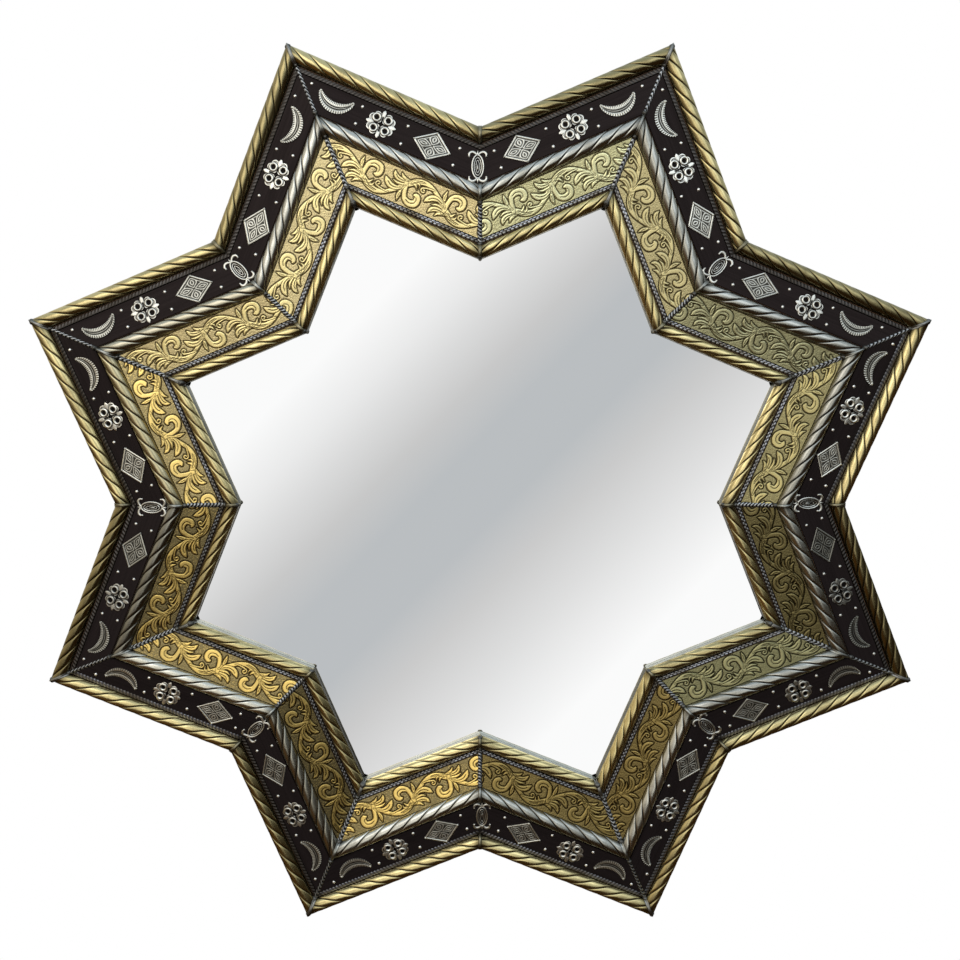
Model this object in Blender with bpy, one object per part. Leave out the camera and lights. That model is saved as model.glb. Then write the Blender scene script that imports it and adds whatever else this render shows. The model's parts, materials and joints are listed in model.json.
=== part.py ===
"""Star-shaped wall mirror: a wooden eight-point star frame dressed in embossed brass and nickel silver.

Units are metres. The star lies in the XZ plane with +Z up. Its front faces -Y, and the rear face of its
backing panel lies in the plane Y = 0, with the origin at the panel's centre.

Each of the sixteen sides of the star has a local frame: X runs along the side, Z points outwards and -Y
points to the front. A point is given by its inset (how far it lies inside the outer edge) and its height
(how far it lies in front of the wall). Sides are numbered clockwise from the tip at the upper left.
"""

import math

import bmesh
import bpy
from mathutils import Matrix, Vector

# Overall size of the star
TIP_RADIUS = 0.550

# Widths of the strips of the frame, from the outer edge inwards
OUTER_ROPE_WIDTH = 0.0170
OUTER_BEAD_WIDTH = 0.0064
BAND_WIDTH = 0.0344
RIDGE_ROPE_WIDTH = 0.0170
PANEL_WIDTH = 0.0368
INNER_BEAD_WIDTH = 0.0062
INNER_ROPE_WIDTH = 0.0144

# Thickness of the rails under each rope, measured from their backs
OUTER_SEAT = 0.0093
RIDGE_SEAT = 0.0163
INNER_SEAT = 0.0103
RAIL_INSET = 0.0015

# Rope mouldings: height, spacing and twist of the gadroons, and the covers over their mitres
OUTER_ROPE_HEIGHT = 0.0085
RIDGE_ROPE_HEIGHT = 0.0085
INNER_ROPE_HEIGHT = 0.0072
GADROON_PITCH = 0.020
GADROON_ADVANCE = 0.040
GROOVE_DEPTH = 0.0012
COVER_WIDTH = 0.0052
COVER_RISE = 0.0009

# Sheet and strip metal
BAND_THICKNESS = 0.0020
PANEL_THICKNESS = 0.0012
BEAD_HEIGHT = 0.0020
LINER_THICKNESS = 0.0008

# Plates on the dark bands, placed on the middle line of the band: a crescent, with its horns outwards, by its
# distance from the mitre at the tip, and a lozenge by its distance from the mitre at the inward corner. All
# are then shifted anticlockwise, because the sides are drawn with one pattern that isn't turned over
PLATE_THICKNESS = 0.0006
PLATE_SHIFT = 0.0035
CRESCENT_FROM_TIP = 0.0350
CRESCENT_SPAN = 0.0410
CRESCENT_OUTER_SAG = 0.0180
CRESCENT_INNER_SAG = 0.0070
LOZENGE_FROM_CORNER = 0.0536
LOZENGE_LENGTH = 0.0450
LOZENGE_MARGIN = 0.0008

# Glass and backing
GLASS_THICKNESS = 0.004
GLASS_LAP = 0.010
GLASS_PLAY = 0.0008
BACKING_THICKNESS = 0.006
BACKING_LAP = 0.021

# Strap hangers
HANGER_SPACING = 0.260
HANGER_MARGIN = 0.010
STRAP_WIDTH = 0.014
STRAP_LENGTH = 0.034
STRAP_THICKNESS = 0.0010
KNUCKLE_ROLL = math.radians(280.0)
SCREW_HOLE_RADIUS = 0.0021
SCREW_SPACING = 0.012
SCREW_EDGE = 0.006
RING_WIRE_RADIUS = 0.0015
RING_HALF_WIDTH = 0.012
RING_SIDE = 0.009
RING_CORNER = 0.003

# Gap between pieces that touch, and the small laps that keep joined shapes from sharing a face
CLEARANCE = 0.0003
JOIN_LAP = 0.0002
CUT_TOLERANCE = 1e-6
RIM_TOLERANCE = 1e-5

# Counts
SIDES = 16
ROPE_STEPS = 4
COVER_STEPS = 4
CRESCENT_STEPS = 4
BEND_STEPS = 8
LEAST_BEND_STEPS = 3
WIRE_BEVEL_STEPS = 1
HOLE_SEGMENTS = 12
SCREWS = 2

# Edges that turn by more than this stay sharp on the round pieces
SHARP_ANGLE = math.radians(50.0)

# Sides whose gadroons lean the other way from the rest of their ring
OUTER_REVERSED = range(1, 11)
INNER_REVERSED = range(8, 11)

# Angles of the star: a mitre at a tip and one at an inward corner, from the normal of the side
TIP_ANGLE = math.radians(45.0)
CORNER_ANGLE = math.radians(22.5)
FIRST_TIP = math.radians(112.5)
CORNER_STEP = math.radians(22.5)

# Places that follow from the sizes above
APOTHEM = TIP_RADIUS * math.cos(TIP_ANGLE)
RAIL_BACK = BACKING_THICKNESS + CLEARANCE
OUTER_LEVEL = RAIL_BACK + OUTER_SEAT
RIDGE_LEVEL = RAIL_BACK + RIDGE_SEAT
INNER_LEVEL = RAIL_BACK + INNER_SEAT
LIP_BACK = BACKING_THICKNESS + CLEARANCE + GLASS_THICKNESS + CLEARANCE

BAND_FOOT = OUTER_ROPE_WIDTH
BAND_HEAD = BAND_FOOT + OUTER_BEAD_WIDTH + BAND_WIDTH
PANEL_HEAD = BAND_HEAD + RIDGE_ROPE_WIDTH
PANEL_FOOT = PANEL_HEAD + PANEL_WIDTH + INNER_BEAD_WIDTH
OPENING = PANEL_FOOT + INNER_ROPE_WIDTH
LIP = OPENING - LINER_THICKNESS - CLEARANCE
REBATE = LIP - GLASS_LAP

OUTER_SLOPE = ((BAND_FOOT, OUTER_LEVEL), (BAND_HEAD, RIDGE_LEVEL))
INNER_SLOPE = ((PANEL_HEAD, RIDGE_LEVEL), (PANEL_FOOT, INNER_LEVEL))


# Materials

def material(name, colour, roughness, metallic):
    made = bpy.data.materials.new(name)
    made.use_nodes = True
    shader = made.node_tree.nodes["Principled BSDF"]
    shader.inputs["Base Color"].default_value = (*colour, 1.0)
    shader.inputs["Roughness"].default_value = roughness
    shader.inputs["Metallic"].default_value = metallic
    return made


FINISHES = {
    "wood": ((0.19, 0.10, 0.05), 0.7, 0.0),
    "ebonised": ((0.018, 0.014, 0.016), 0.45, 0.0),
    "brass": ((0.62, 0.47, 0.18), 0.3, 1.0),
    "gold_brass": ((0.78, 0.58, 0.22), 0.35, 1.0),
    "nickel": ((0.70, 0.72, 0.72), 0.25, 1.0),
    "dark_silver": ((0.30, 0.30, 0.29), 0.4, 1.0),
    "glass": ((0.88, 0.90, 0.91), 0.02, 1.0),
    "plywood": ((0.45, 0.32, 0.19), 0.8, 0.0),
    "steel": ((0.55, 0.56, 0.58), 0.35, 1.0),
}


# Objects

def add_object(name, mesh, finish, parent=None):
    """Links a mesh as one named piece with its own material."""
    made = bpy.data.objects.new(name, mesh)
    bpy.context.scene.collection.objects.link(made)
    mesh.materials.clear()
    mesh.materials.append(material(name, *FINISHES[finish]))
    made.parent = parent
    return made


def add_cutter(name, mesh):
    """Links a mesh that only shapes another piece."""
    made = bpy.data.objects.new(name, mesh)
    bpy.context.scene.collection.objects.link(made)
    made.hide_render = True
    made.display_type = "WIRE"
    return made


def add_boolean(target, operation, other):
    step = target.modifiers.new(operation.lower(), "BOOLEAN")
    step.operation = operation
    step.object = other
    step.solver = "EXACT"


def finished_mesh(name, bm):
    """Turns a bmesh of closed bodies into a mesh with its faces pointing outwards."""
    bmesh.ops.recalc_face_normals(bm, faces=bm.faces[:])
    mesh = bpy.data.meshes.new(name)
    bm.to_mesh(mesh)
    bm.free()
    return mesh


def skin_loops(bm, loops, cyclic):
    """Joins loops of equally many points into a tube, closed on itself or capped at both ends."""
    rings = [[bm.verts.new(point) for point in loop] for loop in loops]
    follow = rings[1:] + (rings[:1] if cyclic else [])
    for first, second in zip(rings, follow):
        count = len(first)
        for i in range(count):
            j = (i + 1) % count
            bm.faces.new((first[i], first[j], second[j], second[i]))
    if not cyclic:
        bm.faces.new(rings[0])
        bm.faces.new(rings[-1])


# Star geometry

def is_right_hand(side):
    """True where the tip lies at the start of the side, going clockwise."""
    return side % 2 == 0


def side_matrix(side):
    """Turns the local frame of a side into the frame of the star."""
    tip = side if is_right_hand(side) else side + 1
    turn = -TIP_ANGLE if is_right_hand(side) else TIP_ANGLE
    normal = FIRST_TIP - CORNER_STEP * tip + turn
    return Matrix.Rotation(math.pi / 2 - normal, 4, "Y")


def mitre_shift(angle, gap):
    """How far along the side a face lies that stands back from the mitre by a gap."""
    return gap / math.cos(angle)


def bar_mesh(name, profile, right_hand):
    """A straight bar of the given (inset, height) profile, mitred at the tip and at the inward corner."""
    half_gap = CLEARANCE / 2
    tip_end = []
    corner_end = []
    for inset, height in profile:
        out = APOTHEM - inset
        tip = -out * math.tan(TIP_ANGLE) + mitre_shift(TIP_ANGLE, half_gap)
        corner = -out * math.tan(CORNER_ANGLE) - mitre_shift(CORNER_ANGLE, half_gap)
        hand = 1.0 if right_hand else -1.0
        tip_end.append((hand * tip, -height, out))
        corner_end.append((hand * corner, -height, out))
    bm = bmesh.new()
    skin_loops(bm, [tip_end, corner_end], cyclic=False)
    return finished_mesh(name, bm)


def add_bars(name, profile, finish, parent):
    """Sixteen copies of a bar, one on each side, left and right hand in turn."""
    pieces = []
    for side in range(SIDES):
        mesh = bar_mesh(f"{name}_{side + 1:02d}", profile, is_right_hand(side))
        piece = add_object(mesh.name, mesh, finish, parent)
        piece.matrix_local = side_matrix(side)
        pieces.append(piece)
    return pieces


def corner_point(corner, inset, height):
    """The point where a line at this inset turns: even corners are tips, odd ones point inwards."""
    spread = TIP_ANGLE if corner % 2 == 0 else CORNER_ANGLE
    radius = (APOTHEM - inset) / math.cos(spread)
    angle = FIRST_TIP - CORNER_STEP * corner
    return (radius * math.cos(angle), -height, radius * math.sin(angle))


def add_ring(name, profile, finish, parent):
    """An unbroken strip of the given (inset, height) profile round the whole star."""
    bm = bmesh.new()
    loops = [[corner_point(corner, *point) for point in profile] for corner in range(SIDES)]
    skin_loops(bm, loops, cyclic=True)
    return add_object(name, finished_mesh(name, bm), finish, parent)


def add_plate(name, outline, back, front, finish, parent):
    """A flat plate of the given outline of (x, z) points between two heights."""
    bm = bmesh.new()
    loops = [[(x, -height, z) for x, z in outline] for height in (back, front)]
    skin_loops(bm, loops, cyclic=False)
    return add_object(name, finished_mesh(name, bm), finish, parent)


def slope_direction(slope):
    return (Vector(slope[1]) - Vector(slope[0])).normalized()


def on_slope(slope, inset, rise):
    """The (inset, height) of a point that stands off a sloping face by a rise along its normal."""
    along = slope_direction(slope)
    foot = Vector(slope[0])
    return tuple(foot + along * ((inset - foot.x) / along.x) + Vector((-along.y, along.x)) * rise)


def strip_profile(slope, start, end, thickness):
    """A strip lying on a sloping face, from one inset to another, lifted off it by the clearance."""
    top = CLEARANCE + thickness
    corners = ((start, CLEARANCE), (end, CLEARANCE), (end, top), (start, top))
    return [on_slope(slope, *corner) for corner in corners]


# Wooden frame, bands and panels

def add_rails(parent):
    profile = [
        (RAIL_INSET, RAIL_BACK),
        (RAIL_INSET, OUTER_LEVEL),
        *OUTER_SLOPE,
        *INNER_SLOPE,
        (LIP, INNER_LEVEL),
        (LIP, LIP_BACK),
        (REBATE, LIP_BACK),
        (REBATE, RAIL_BACK),
    ]
    add_bars("wood_rail", profile, "wood", parent)


def crescent_outline():
    """Two arcs of unlike sag between the same horns, as (along, outwards) points."""
    points = []
    for sag, turn in ((CRESCENT_OUTER_SAG, 1.0), (CRESCENT_INNER_SAG, -1.0)):
        radius = CRESCENT_SPAN ** 2 / (8.0 * sag) + sag / 2
        half_angle = math.asin(CRESCENT_SPAN / 2 / radius)
        for step in range(CRESCENT_STEPS):
            angle = turn * half_angle * (2.0 * step / CRESCENT_STEPS - 1.0)
            depth = sag - radius * (1.0 - math.cos(angle))
            points.append((radius * math.sin(angle), CRESCENT_OUTER_SAG / 2 - depth))
    return points


def lozenge_outline(width):
    half_length, half_width = LOZENGE_LENGTH / 2, width / 2
    return [(-half_length, 0.0), (0.0, -half_width), (half_length, 0.0), (0.0, half_width)]


def plates_mesh(name, start, end, right_hand):
    """The crescent and the lozenge of one band, which lies between two insets, let into its face."""
    middle = (start + end) / 2
    out = APOTHEM - middle
    climb = slope_direction(OUTER_SLOPE).x
    crescent_place = -out * math.tan(TIP_ANGLE) + CRESCENT_FROM_TIP
    lozenge_place = -out * math.tan(CORNER_ANGLE) - LOZENGE_FROM_CORNER
    width = (end - start) / climb - 2 * LOZENGE_MARGIN
    face = CLEARANCE + BAND_THICKNESS
    hand = 1.0 if right_hand else -1.0
    bm = bmesh.new()
    for place, outline in ((crescent_place, crescent_outline()), (lozenge_place, lozenge_outline(width))):
        loops = []
        for rise in (face - JOIN_LAP, face + PLATE_THICKNESS):
            loop = []
            for along, across in outline:
                inset, height = on_slope(OUTER_SLOPE, middle - across * climb, rise)
                loop.append((hand * (place + along) - PLATE_SHIFT, -height, APOTHEM - inset))
            loops.append(loop)
        skin_loops(bm, loops, cyclic=False)
    return finished_mesh(name, bm)


def add_bands(parent):
    start = BAND_FOOT + OUTER_BEAD_WIDTH + CLEARANCE
    end = BAND_HEAD - 2 * CLEARANCE
    profile = strip_profile(OUTER_SLOPE, start, end, BAND_THICKNESS)
    bands = add_bars("dark_band", profile, "ebonised", parent)
    for side, band in enumerate(bands):
        mesh = plates_mesh(f"{band.name}_plates", start, end, is_right_hand(side))
        plates = add_cutter(mesh.name, mesh)
        plates.matrix_local = side_matrix(side)
        add_boolean(band, "UNION", plates)


def add_panels(parent):
    end = PANEL_FOOT - INNER_BEAD_WIDTH - CLEARANCE
    profile = strip_profile(INNER_SLOPE, PANEL_HEAD + 2 * CLEARANCE, end, PANEL_THICKNESS)
    add_bars("brass_panel", profile, "gold_brass", parent)


def add_beads(parent):
    outer = strip_profile(OUTER_SLOPE, BAND_FOOT + 2 * CLEARANCE, BAND_FOOT + OUTER_BEAD_WIDTH, BEAD_HEIGHT)
    add_ring("outer_bead", outer, "dark_silver", parent)
    start = PANEL_FOOT - INNER_BEAD_WIDTH
    inner = strip_profile(INNER_SLOPE, start, PANEL_FOOT - 2 * CLEARANCE, BEAD_HEIGHT)
    add_ring("inner_bead", inner, "dark_silver", parent)


def add_liner(parent):
    top = INNER_LEVEL
    foot = LIP_BACK
    start = LIP + CLEARANCE
    profile = [(start, foot), (start, top), (OPENING, top), (OPENING, foot)]
    add_ring("inner_liner", profile, "nickel", parent)


# Rope mouldings

def rope_line(along, groove, middle, half, height, base, lean):
    """Points that climb over a half-round as they advance along it, on a groove or on a gadroon's crest.

    A groove is deepest on top and runs out at the base. A crest line leaves out its two base points.
    """
    points = {}
    for row in range(ROPE_STEPS + 1):
        if not groove and row in (0, ROPE_STEPS):
            continue
        share = row / ROPE_STEPS - 0.5
        angle = math.pi * share
        depth = GROOVE_DEPTH * math.cos(angle) if groove else 0.0
        out = middle + (half - depth) * math.sin(angle)
        lift = base + (height - depth) * math.cos(angle)
        points[row] = (along + lean * GADROON_ADVANCE * share, -lift, out)
    return points


def skin_gadroon(bm, groove, crest, after):
    """Faces of one gadroon, from its groove over its crest to the next groove, with its share of the base."""
    last = ROPE_STEPS
    for row in range(1, last - 1):
        bm.faces.new((groove[row], groove[row + 1], crest[row + 1], crest[row]))
        bm.faces.new((crest[row], crest[row + 1], after[row + 1], after[row]))
    for edge, inner in ((0, 1), (last, last - 1)):
        bm.faces.new((groove[edge], groove[inner], crest[inner]))
        bm.faces.new((crest[inner], after[inner], after[edge]))
        bm.faces.new((groove[edge], crest[inner], after[edge]))
    bm.faces.new((groove[0], after[0], after[last], groove[last]))


def cut_end(bm, origin, normal):
    """Cuts everything beyond a plane away and closes the cut."""
    bmesh.ops.bisect_plane(
        bm,
        geom=bm.verts[:] + bm.edges[:] + bm.faces[:],
        dist=CUT_TOLERANCE,
        plane_co=origin,
        plane_no=normal,
        clear_outer=True,
    )

    def on_plane(vert):
        return abs((vert.co - origin).dot(normal)) < RIM_TOLERANCE

    rim = [edge for edge in bm.edges if edge.is_boundary and all(on_plane(vert) for vert in edge.verts)]
    bmesh.ops.holes_fill(bm, edges=rim, sides=0)


def rope_side(side, inset, width, height, base, lean):
    """One length of rope, mitred just short of both ends and set in its place on the star."""
    half = width / 2
    middle = APOTHEM - inset - half
    start = -(middle + half) * math.tan(TIP_ANGLE) - GADROON_ADVANCE
    end = -(middle - half) * math.tan(CORNER_ANGLE) + GADROON_ADVANCE
    bm = bmesh.new()
    lines = []
    for step in range(2 * math.ceil((end - start) / GADROON_PITCH) + 1):
        along = start + step * GADROON_PITCH / 2
        line = rope_line(along, step % 2 == 0, middle, half, height, base, lean)
        lines.append({row: bm.verts.new(point) for row, point in line.items()})
    for groove, crest, after in zip(lines[0::2], lines[1::2], lines[2::2]):
        skin_gadroon(bm, groove, crest, after)
    tip_normal = Vector((-math.cos(TIP_ANGLE), 0.0, -math.sin(TIP_ANGLE)))
    corner_normal = Vector((math.cos(CORNER_ANGLE), 0.0, math.sin(CORNER_ANGLE)))
    cut_end(bm, -tip_normal * JOIN_LAP, tip_normal)
    cut_end(bm, -corner_normal * JOIN_LAP, corner_normal)
    hand = Matrix.Scale(1.0 if is_right_hand(side) else -1.0, 4, Vector((1, 0, 0)))
    bmesh.ops.transform(bm, matrix=side_matrix(side) @ hand, verts=bm.verts[:])
    bmesh.ops.recalc_face_normals(bm, faces=bm.faces[:])
    return bm


def cover_loops(corner, inset, width, height, base):
    """Three sections of a plain half-round band that bends over the mitre of a rope at one corner."""
    tip = corner % 2 == 0
    turn = -math.tan(TIP_ANGLE) if tip else math.tan(CORNER_ANGLE)
    stretch = 1.0 / math.cos(TIP_ANGLE if tip else CORNER_ANGLE)
    angle = FIRST_TIP - CORNER_STEP * corner
    outwards = Vector((math.cos(angle), 0.0, math.sin(angle)))
    sideways = Vector((-math.sin(angle), 0.0, math.cos(angle)))
    middle = APOTHEM - inset - width / 2
    half = width / 2 + JOIN_LAP / 2
    loops = []
    for side_step in (-COVER_WIDTH / 2, 0.0, COVER_WIDTH / 2):
        loop = []
        for step in range(COVER_STEPS + 1):
            around = math.pi * (step / COVER_STEPS - 0.5)
            radius = (middle + half * math.sin(around)) * stretch + abs(side_step) * turn
            lift = base + JOIN_LAP + (height + COVER_RISE) * math.cos(around)
            loop.append(outwards * radius + sideways * side_step + Vector((0.0, -lift, 0.0)))
        loops.append(loop)
    return loops


def add_rope(name, inset, width, height, seat, reversed_sides, finish, parent):
    """A soldered ring of sixteen gadrooned lengths, with a cover over each mitre."""
    base = seat + CLEARANCE
    joined = bpy.data.meshes.new(name)
    ring = bmesh.new()
    for side in range(SIDES):
        lean = 1.0 if side in reversed_sides else -1.0
        length = rope_side(side, inset, width, height, base, lean)
        length.to_mesh(joined)
        length.free()
        ring.from_mesh(joined)
    ring.to_mesh(joined)
    ring.free()
    joined.shade_smooth()
    joined.set_sharp_from_angle(angle=SHARP_ANGLE)
    covers = bmesh.new()
    for corner in range(SIDES):
        skin_loops(covers, cover_loops(corner, inset, width, height, base), cyclic=False)
    rope = add_object(name, joined, finish, parent)
    cover_mesh = finished_mesh(f"{name}_covers", covers)
    add_boolean(rope, "UNION", add_cutter(cover_mesh.name, cover_mesh))


def add_ropes(parent):
    ropes = (
        ("outer_rope", 0.0, OUTER_ROPE_WIDTH, OUTER_ROPE_HEIGHT, OUTER_LEVEL, OUTER_REVERSED, "brass"),
        ("ridge_rope", BAND_HEAD, RIDGE_ROPE_WIDTH, RIDGE_ROPE_HEIGHT, RIDGE_LEVEL, (), "nickel"),
        ("inner_rope", PANEL_FOOT, INNER_ROPE_WIDTH, INNER_ROPE_HEIGHT, INNER_LEVEL, INNER_REVERSED, "brass"),
    )
    for rope in ropes:
        add_rope(*rope, parent)


# Glass and backing

def star_outline(inset):
    points = [corner_point(corner, inset, 0.0) for corner in range(SIDES)]
    return [(x, z) for x, _, z in points]


def add_glass(parent):
    back = BACKING_THICKNESS + CLEARANCE
    outline = star_outline(REBATE + GLASS_PLAY)
    add_plate("mirror_glass", outline, back, back + GLASS_THICKNESS, "glass", parent)


def backing_radius():
    """The panel reaches past the tips of the rebate by its lap on the rails."""
    return (APOTHEM - REBATE) / math.cos(TIP_ANGLE) + BACKING_LAP


def add_backing(parent):
    radius = backing_radius()
    angles = [FIRST_TIP - 2 * CORNER_STEP * corner for corner in range(SIDES // 2)]
    outline = [(radius * math.cos(angle), radius * math.sin(angle)) for angle in angles]
    add_plate("backing_panel", outline, 0.0, BACKING_THICKNESS, "plywood", parent)


# Strap hangers, each with a ring that swings in the rolled knuckle of its strap

KNUCKLE_BORE = RING_WIRE_RADIUS + CLEARANCE
KNUCKLE_RADIUS = KNUCKLE_BORE + STRAP_THICKNESS
PIVOT_BEHIND = CLEARANCE + KNUCKLE_RADIUS
DRILL_LENGTH = 4 * STRAP_THICKNESS


def pivot_height():
    """The foot of the strap stands clear of the top edge of the backing panel."""
    return backing_radius() * math.cos(CORNER_STEP) + HANGER_MARGIN + STRAP_LENGTH


def strap_profile():
    """Section of the strap, as (distance behind, height over the pivot): a plate rolled round a wire."""
    plate_face = -KNUCKLE_BORE
    rail_face = -KNUCKLE_RADIUS
    roll = [math.pi - KNUCKLE_ROLL * step / BEND_STEPS for step in range(BEND_STEPS + 1)]
    outer = [(KNUCKLE_RADIUS * math.cos(a), KNUCKLE_RADIUS * math.sin(a)) for a in roll]
    inner = [(KNUCKLE_BORE * math.cos(a), KNUCKLE_BORE * math.sin(a)) for a in reversed(roll)]
    return [(rail_face, -STRAP_LENGTH), *outer, *inner, (plate_face, -STRAP_LENGTH)]


def ring_path():
    """Centre line of the ring in its own plane, hanging from the pivot: a bar with a round bow below."""
    path = []
    bends = (
        (RING_HALF_WIDTH - RING_CORNER, -RING_CORNER, RING_CORNER, math.pi / 2, 0.0),
        (0.0, -RING_SIDE, RING_HALF_WIDTH, 0.0, -math.pi),
        (RING_CORNER - RING_HALF_WIDTH, -RING_CORNER, RING_CORNER, math.pi, math.pi / 2),
    )
    for x, z, radius, first, last in bends:
        steps = max(LEAST_BEND_STEPS, round(BEND_STEPS * abs(last - first) / math.pi))
        for step in range(steps + 1):
            angle = first + (last - first) * step / steps
            path.append((x + radius * math.cos(angle), z + radius * math.sin(angle)))
    return path


def add_strap(name_end, pivot, parent):
    bm = bmesh.new()
    half = STRAP_WIDTH / 2
    loops = [[(edge, y, z) for y, z in strap_profile()] for edge in (-half, half)]
    skin_loops(bm, loops, cyclic=False)
    mesh = finished_mesh(f"hanger_strap_{name_end}", bm)
    strap = add_object(mesh.name, mesh, "steel", parent)
    strap.location = pivot

    holes = bmesh.new()
    for row in range(SCREWS):
        place = Vector((0.0, -KNUCKLE_BORE, SCREW_EDGE + row * SCREW_SPACING - STRAP_LENGTH))
        turned = Matrix.Translation(place) @ Matrix.Rotation(math.pi / 2, 4, "X")
        bmesh.ops.create_cone(
            holes,
            cap_ends=True,
            segments=HOLE_SEGMENTS,
            radius1=SCREW_HOLE_RADIUS,
            radius2=SCREW_HOLE_RADIUS,
            depth=DRILL_LENGTH,
            matrix=turned,
        )
    drill_mesh = finished_mesh(f"hanger_drill_{name_end}", holes)
    drill = add_cutter(drill_mesh.name, drill_mesh)
    drill.location = pivot
    add_boolean(strap, "DIFFERENCE", drill)


def add_hanger_ring(name_end, pivot, parent):
    curve = bpy.data.curves.new(f"hanger_ring_{name_end}", "CURVE")
    curve.dimensions = "3D"
    curve.bevel_depth = RING_WIRE_RADIUS
    curve.bevel_resolution = WIRE_BEVEL_STEPS
    wire = curve.splines.new("POLY")
    path = ring_path()
    wire.points.add(len(path) - 1)
    for point, (px, pz) in zip(wire.points, path):
        point.co = (px, 0.0, pz, 1.0)
    wire.use_cyclic_u = True
    ring = add_object(f"hanger_ring_{name_end}", curve, "steel", parent)
    ring.location = pivot


def add_hanger(name_end, x, parent):
    pivot = Vector((x, -RAIL_BACK + PIVOT_BEHIND, pivot_height()))
    add_strap(name_end, pivot, parent)
    add_hanger_ring(name_end, pivot, parent)


def main():
    for old in list(bpy.data.objects):
        bpy.data.objects.remove(old)
    star = bpy.data.objects.new("star_mirror", None)
    bpy.context.scene.collection.objects.link(star)
    add_rails(star)
    add_bands(star)
    add_panels(star)
    add_beads(star)
    add_liner(star)
    add_ropes(star)
    add_glass(star)
    add_backing(star)
    add_hanger("left", -HANGER_SPACING / 2, star)
    add_hanger("right", HANGER_SPACING / 2, star)


main()
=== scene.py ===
"""Looks of the star-shaped wall mirror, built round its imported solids.

A point on one of the sixteen sides is given as (along, inset, height), in metres. Along runs beside the
outer edge towards the inward corner, from the foot of the side's normal, so the tip end is the most
negative. Inset is how far the point lies inside the outer edge, and height how far it stands in front of
the wall.
"""

import json
import math

import bmesh
import bpy
import numpy as np
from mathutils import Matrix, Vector


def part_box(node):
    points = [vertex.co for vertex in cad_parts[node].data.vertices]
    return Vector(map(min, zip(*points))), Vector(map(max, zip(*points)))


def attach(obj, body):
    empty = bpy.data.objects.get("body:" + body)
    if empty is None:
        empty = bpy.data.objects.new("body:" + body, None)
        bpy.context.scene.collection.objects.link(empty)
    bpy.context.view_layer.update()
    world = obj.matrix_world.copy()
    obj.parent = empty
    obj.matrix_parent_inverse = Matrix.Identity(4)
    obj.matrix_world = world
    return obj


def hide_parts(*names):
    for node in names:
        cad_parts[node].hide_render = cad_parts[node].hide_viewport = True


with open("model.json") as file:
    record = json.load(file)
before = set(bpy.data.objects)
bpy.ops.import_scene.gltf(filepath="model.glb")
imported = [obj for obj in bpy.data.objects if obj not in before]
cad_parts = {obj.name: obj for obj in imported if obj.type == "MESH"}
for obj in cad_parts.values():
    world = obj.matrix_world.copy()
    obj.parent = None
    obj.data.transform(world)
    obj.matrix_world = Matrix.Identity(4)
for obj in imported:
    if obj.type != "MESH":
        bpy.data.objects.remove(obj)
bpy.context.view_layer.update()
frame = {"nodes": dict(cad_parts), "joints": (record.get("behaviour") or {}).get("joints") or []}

BODY = "frame"

# Angles of the star, and the way that it faces
SIDES = 16
STEP = math.radians(22.5)
TIP_SPREAD = math.radians(45.0)
CORNER_SPREAD = math.radians(22.5)
FIRST_TIP = math.radians(112.5)
FRONT = np.array([0.0, -1.0, 0.0])

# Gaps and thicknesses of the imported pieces
GAP = 0.0003
COVER_PROUD = 0.0011
BAND_THICKNESS = 0.0020
PANEL_THICKNESS = 0.0012
BEAD_THICKNESS = 0.0014
LINER_THICKNESS = 0.0008

MM = 0.001


def side_nodes(name):
    return [f"{name}_{side + 1:02d}" for side in range(SIDES)]


def outer_apothem(*nodes):
    """Distance from the centre to the outer sides of a ring of nodes, from the reach of its tips."""
    reach = max(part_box(node)[1].x for node in nodes)
    return reach / math.cos(STEP) * math.cos(TIP_SPREAD)


class Rope:
    """Place of one rope moulding, read from its solid: first and last inset, seat and height."""

    def __init__(self, node, end_apothem):
        low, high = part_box(node)
        self.node = node
        self.start = APOTHEM - outer_apothem(node)
        self.end = APOTHEM - end_apothem
        self.half = (self.end - self.start) / 2
        self.middle = (self.end + self.start) / 2
        self.seat = -high.y
        self.height = high.y - low.y - COVER_PROUD


APOTHEM = outer_apothem("outer_rope")
OUTER_ROPE = Rope("outer_rope", outer_apothem("outer_bead") + 2 * GAP)
RIDGE_ROPE = Rope("ridge_rope", outer_apothem(*side_nodes("brass_panel")) + 2 * GAP)
INNER_ROPE = Rope("inner_rope", outer_apothem("inner_liner") - LINER_THICKNESS)

BAND_START = APOTHEM - outer_apothem(*side_nodes("dark_band"))
BAND_END = RIDGE_ROPE.start
RAIL_START = APOTHEM - outer_apothem(*side_nodes("wood_rail"))
RAIL_BACK = -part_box("wood_rail_01")[1].y
GLASS_START = APOTHEM - outer_apothem("mirror_glass")
PANEL_START = RIDGE_ROPE.end + GAP
PANEL_END = APOTHEM - outer_apothem("inner_bead")

OUTER_SLOPE = ((OUTER_ROPE.end, OUTER_ROPE.seat - GAP), (RIDGE_ROPE.start, RIDGE_ROPE.seat - GAP))
INNER_SLOPE = ((RIDGE_ROPE.end, RIDGE_ROPE.seat - GAP), (INNER_ROPE.start, INNER_ROPE.seat - GAP))


# Places on the star

def side_axes(side):
    """Directions along a side and outwards from it. Odd sides run the other way, tip end first."""
    even = side % 2 == 0
    tip = side if even else side + 1
    normal = FIRST_TIP - STEP * tip + (-TIP_SPREAD if even else TIP_SPREAD)
    hand = 1.0 if even else -1.0
    along = hand * np.array([math.sin(normal), 0.0, -math.cos(normal)])
    return along, np.array([math.cos(normal), 0.0, math.sin(normal)])


def on_side(side, along, inset, height):
    """Points of the star from their place on one side."""
    along_axis, out_axis = side_axes(side)
    along, inset, height = np.broadcast_arrays(along, inset, height)
    flat = along[..., None] * along_axis + (APOTHEM - inset)[..., None] * out_axis
    return flat + height[..., None] * FRONT


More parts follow.
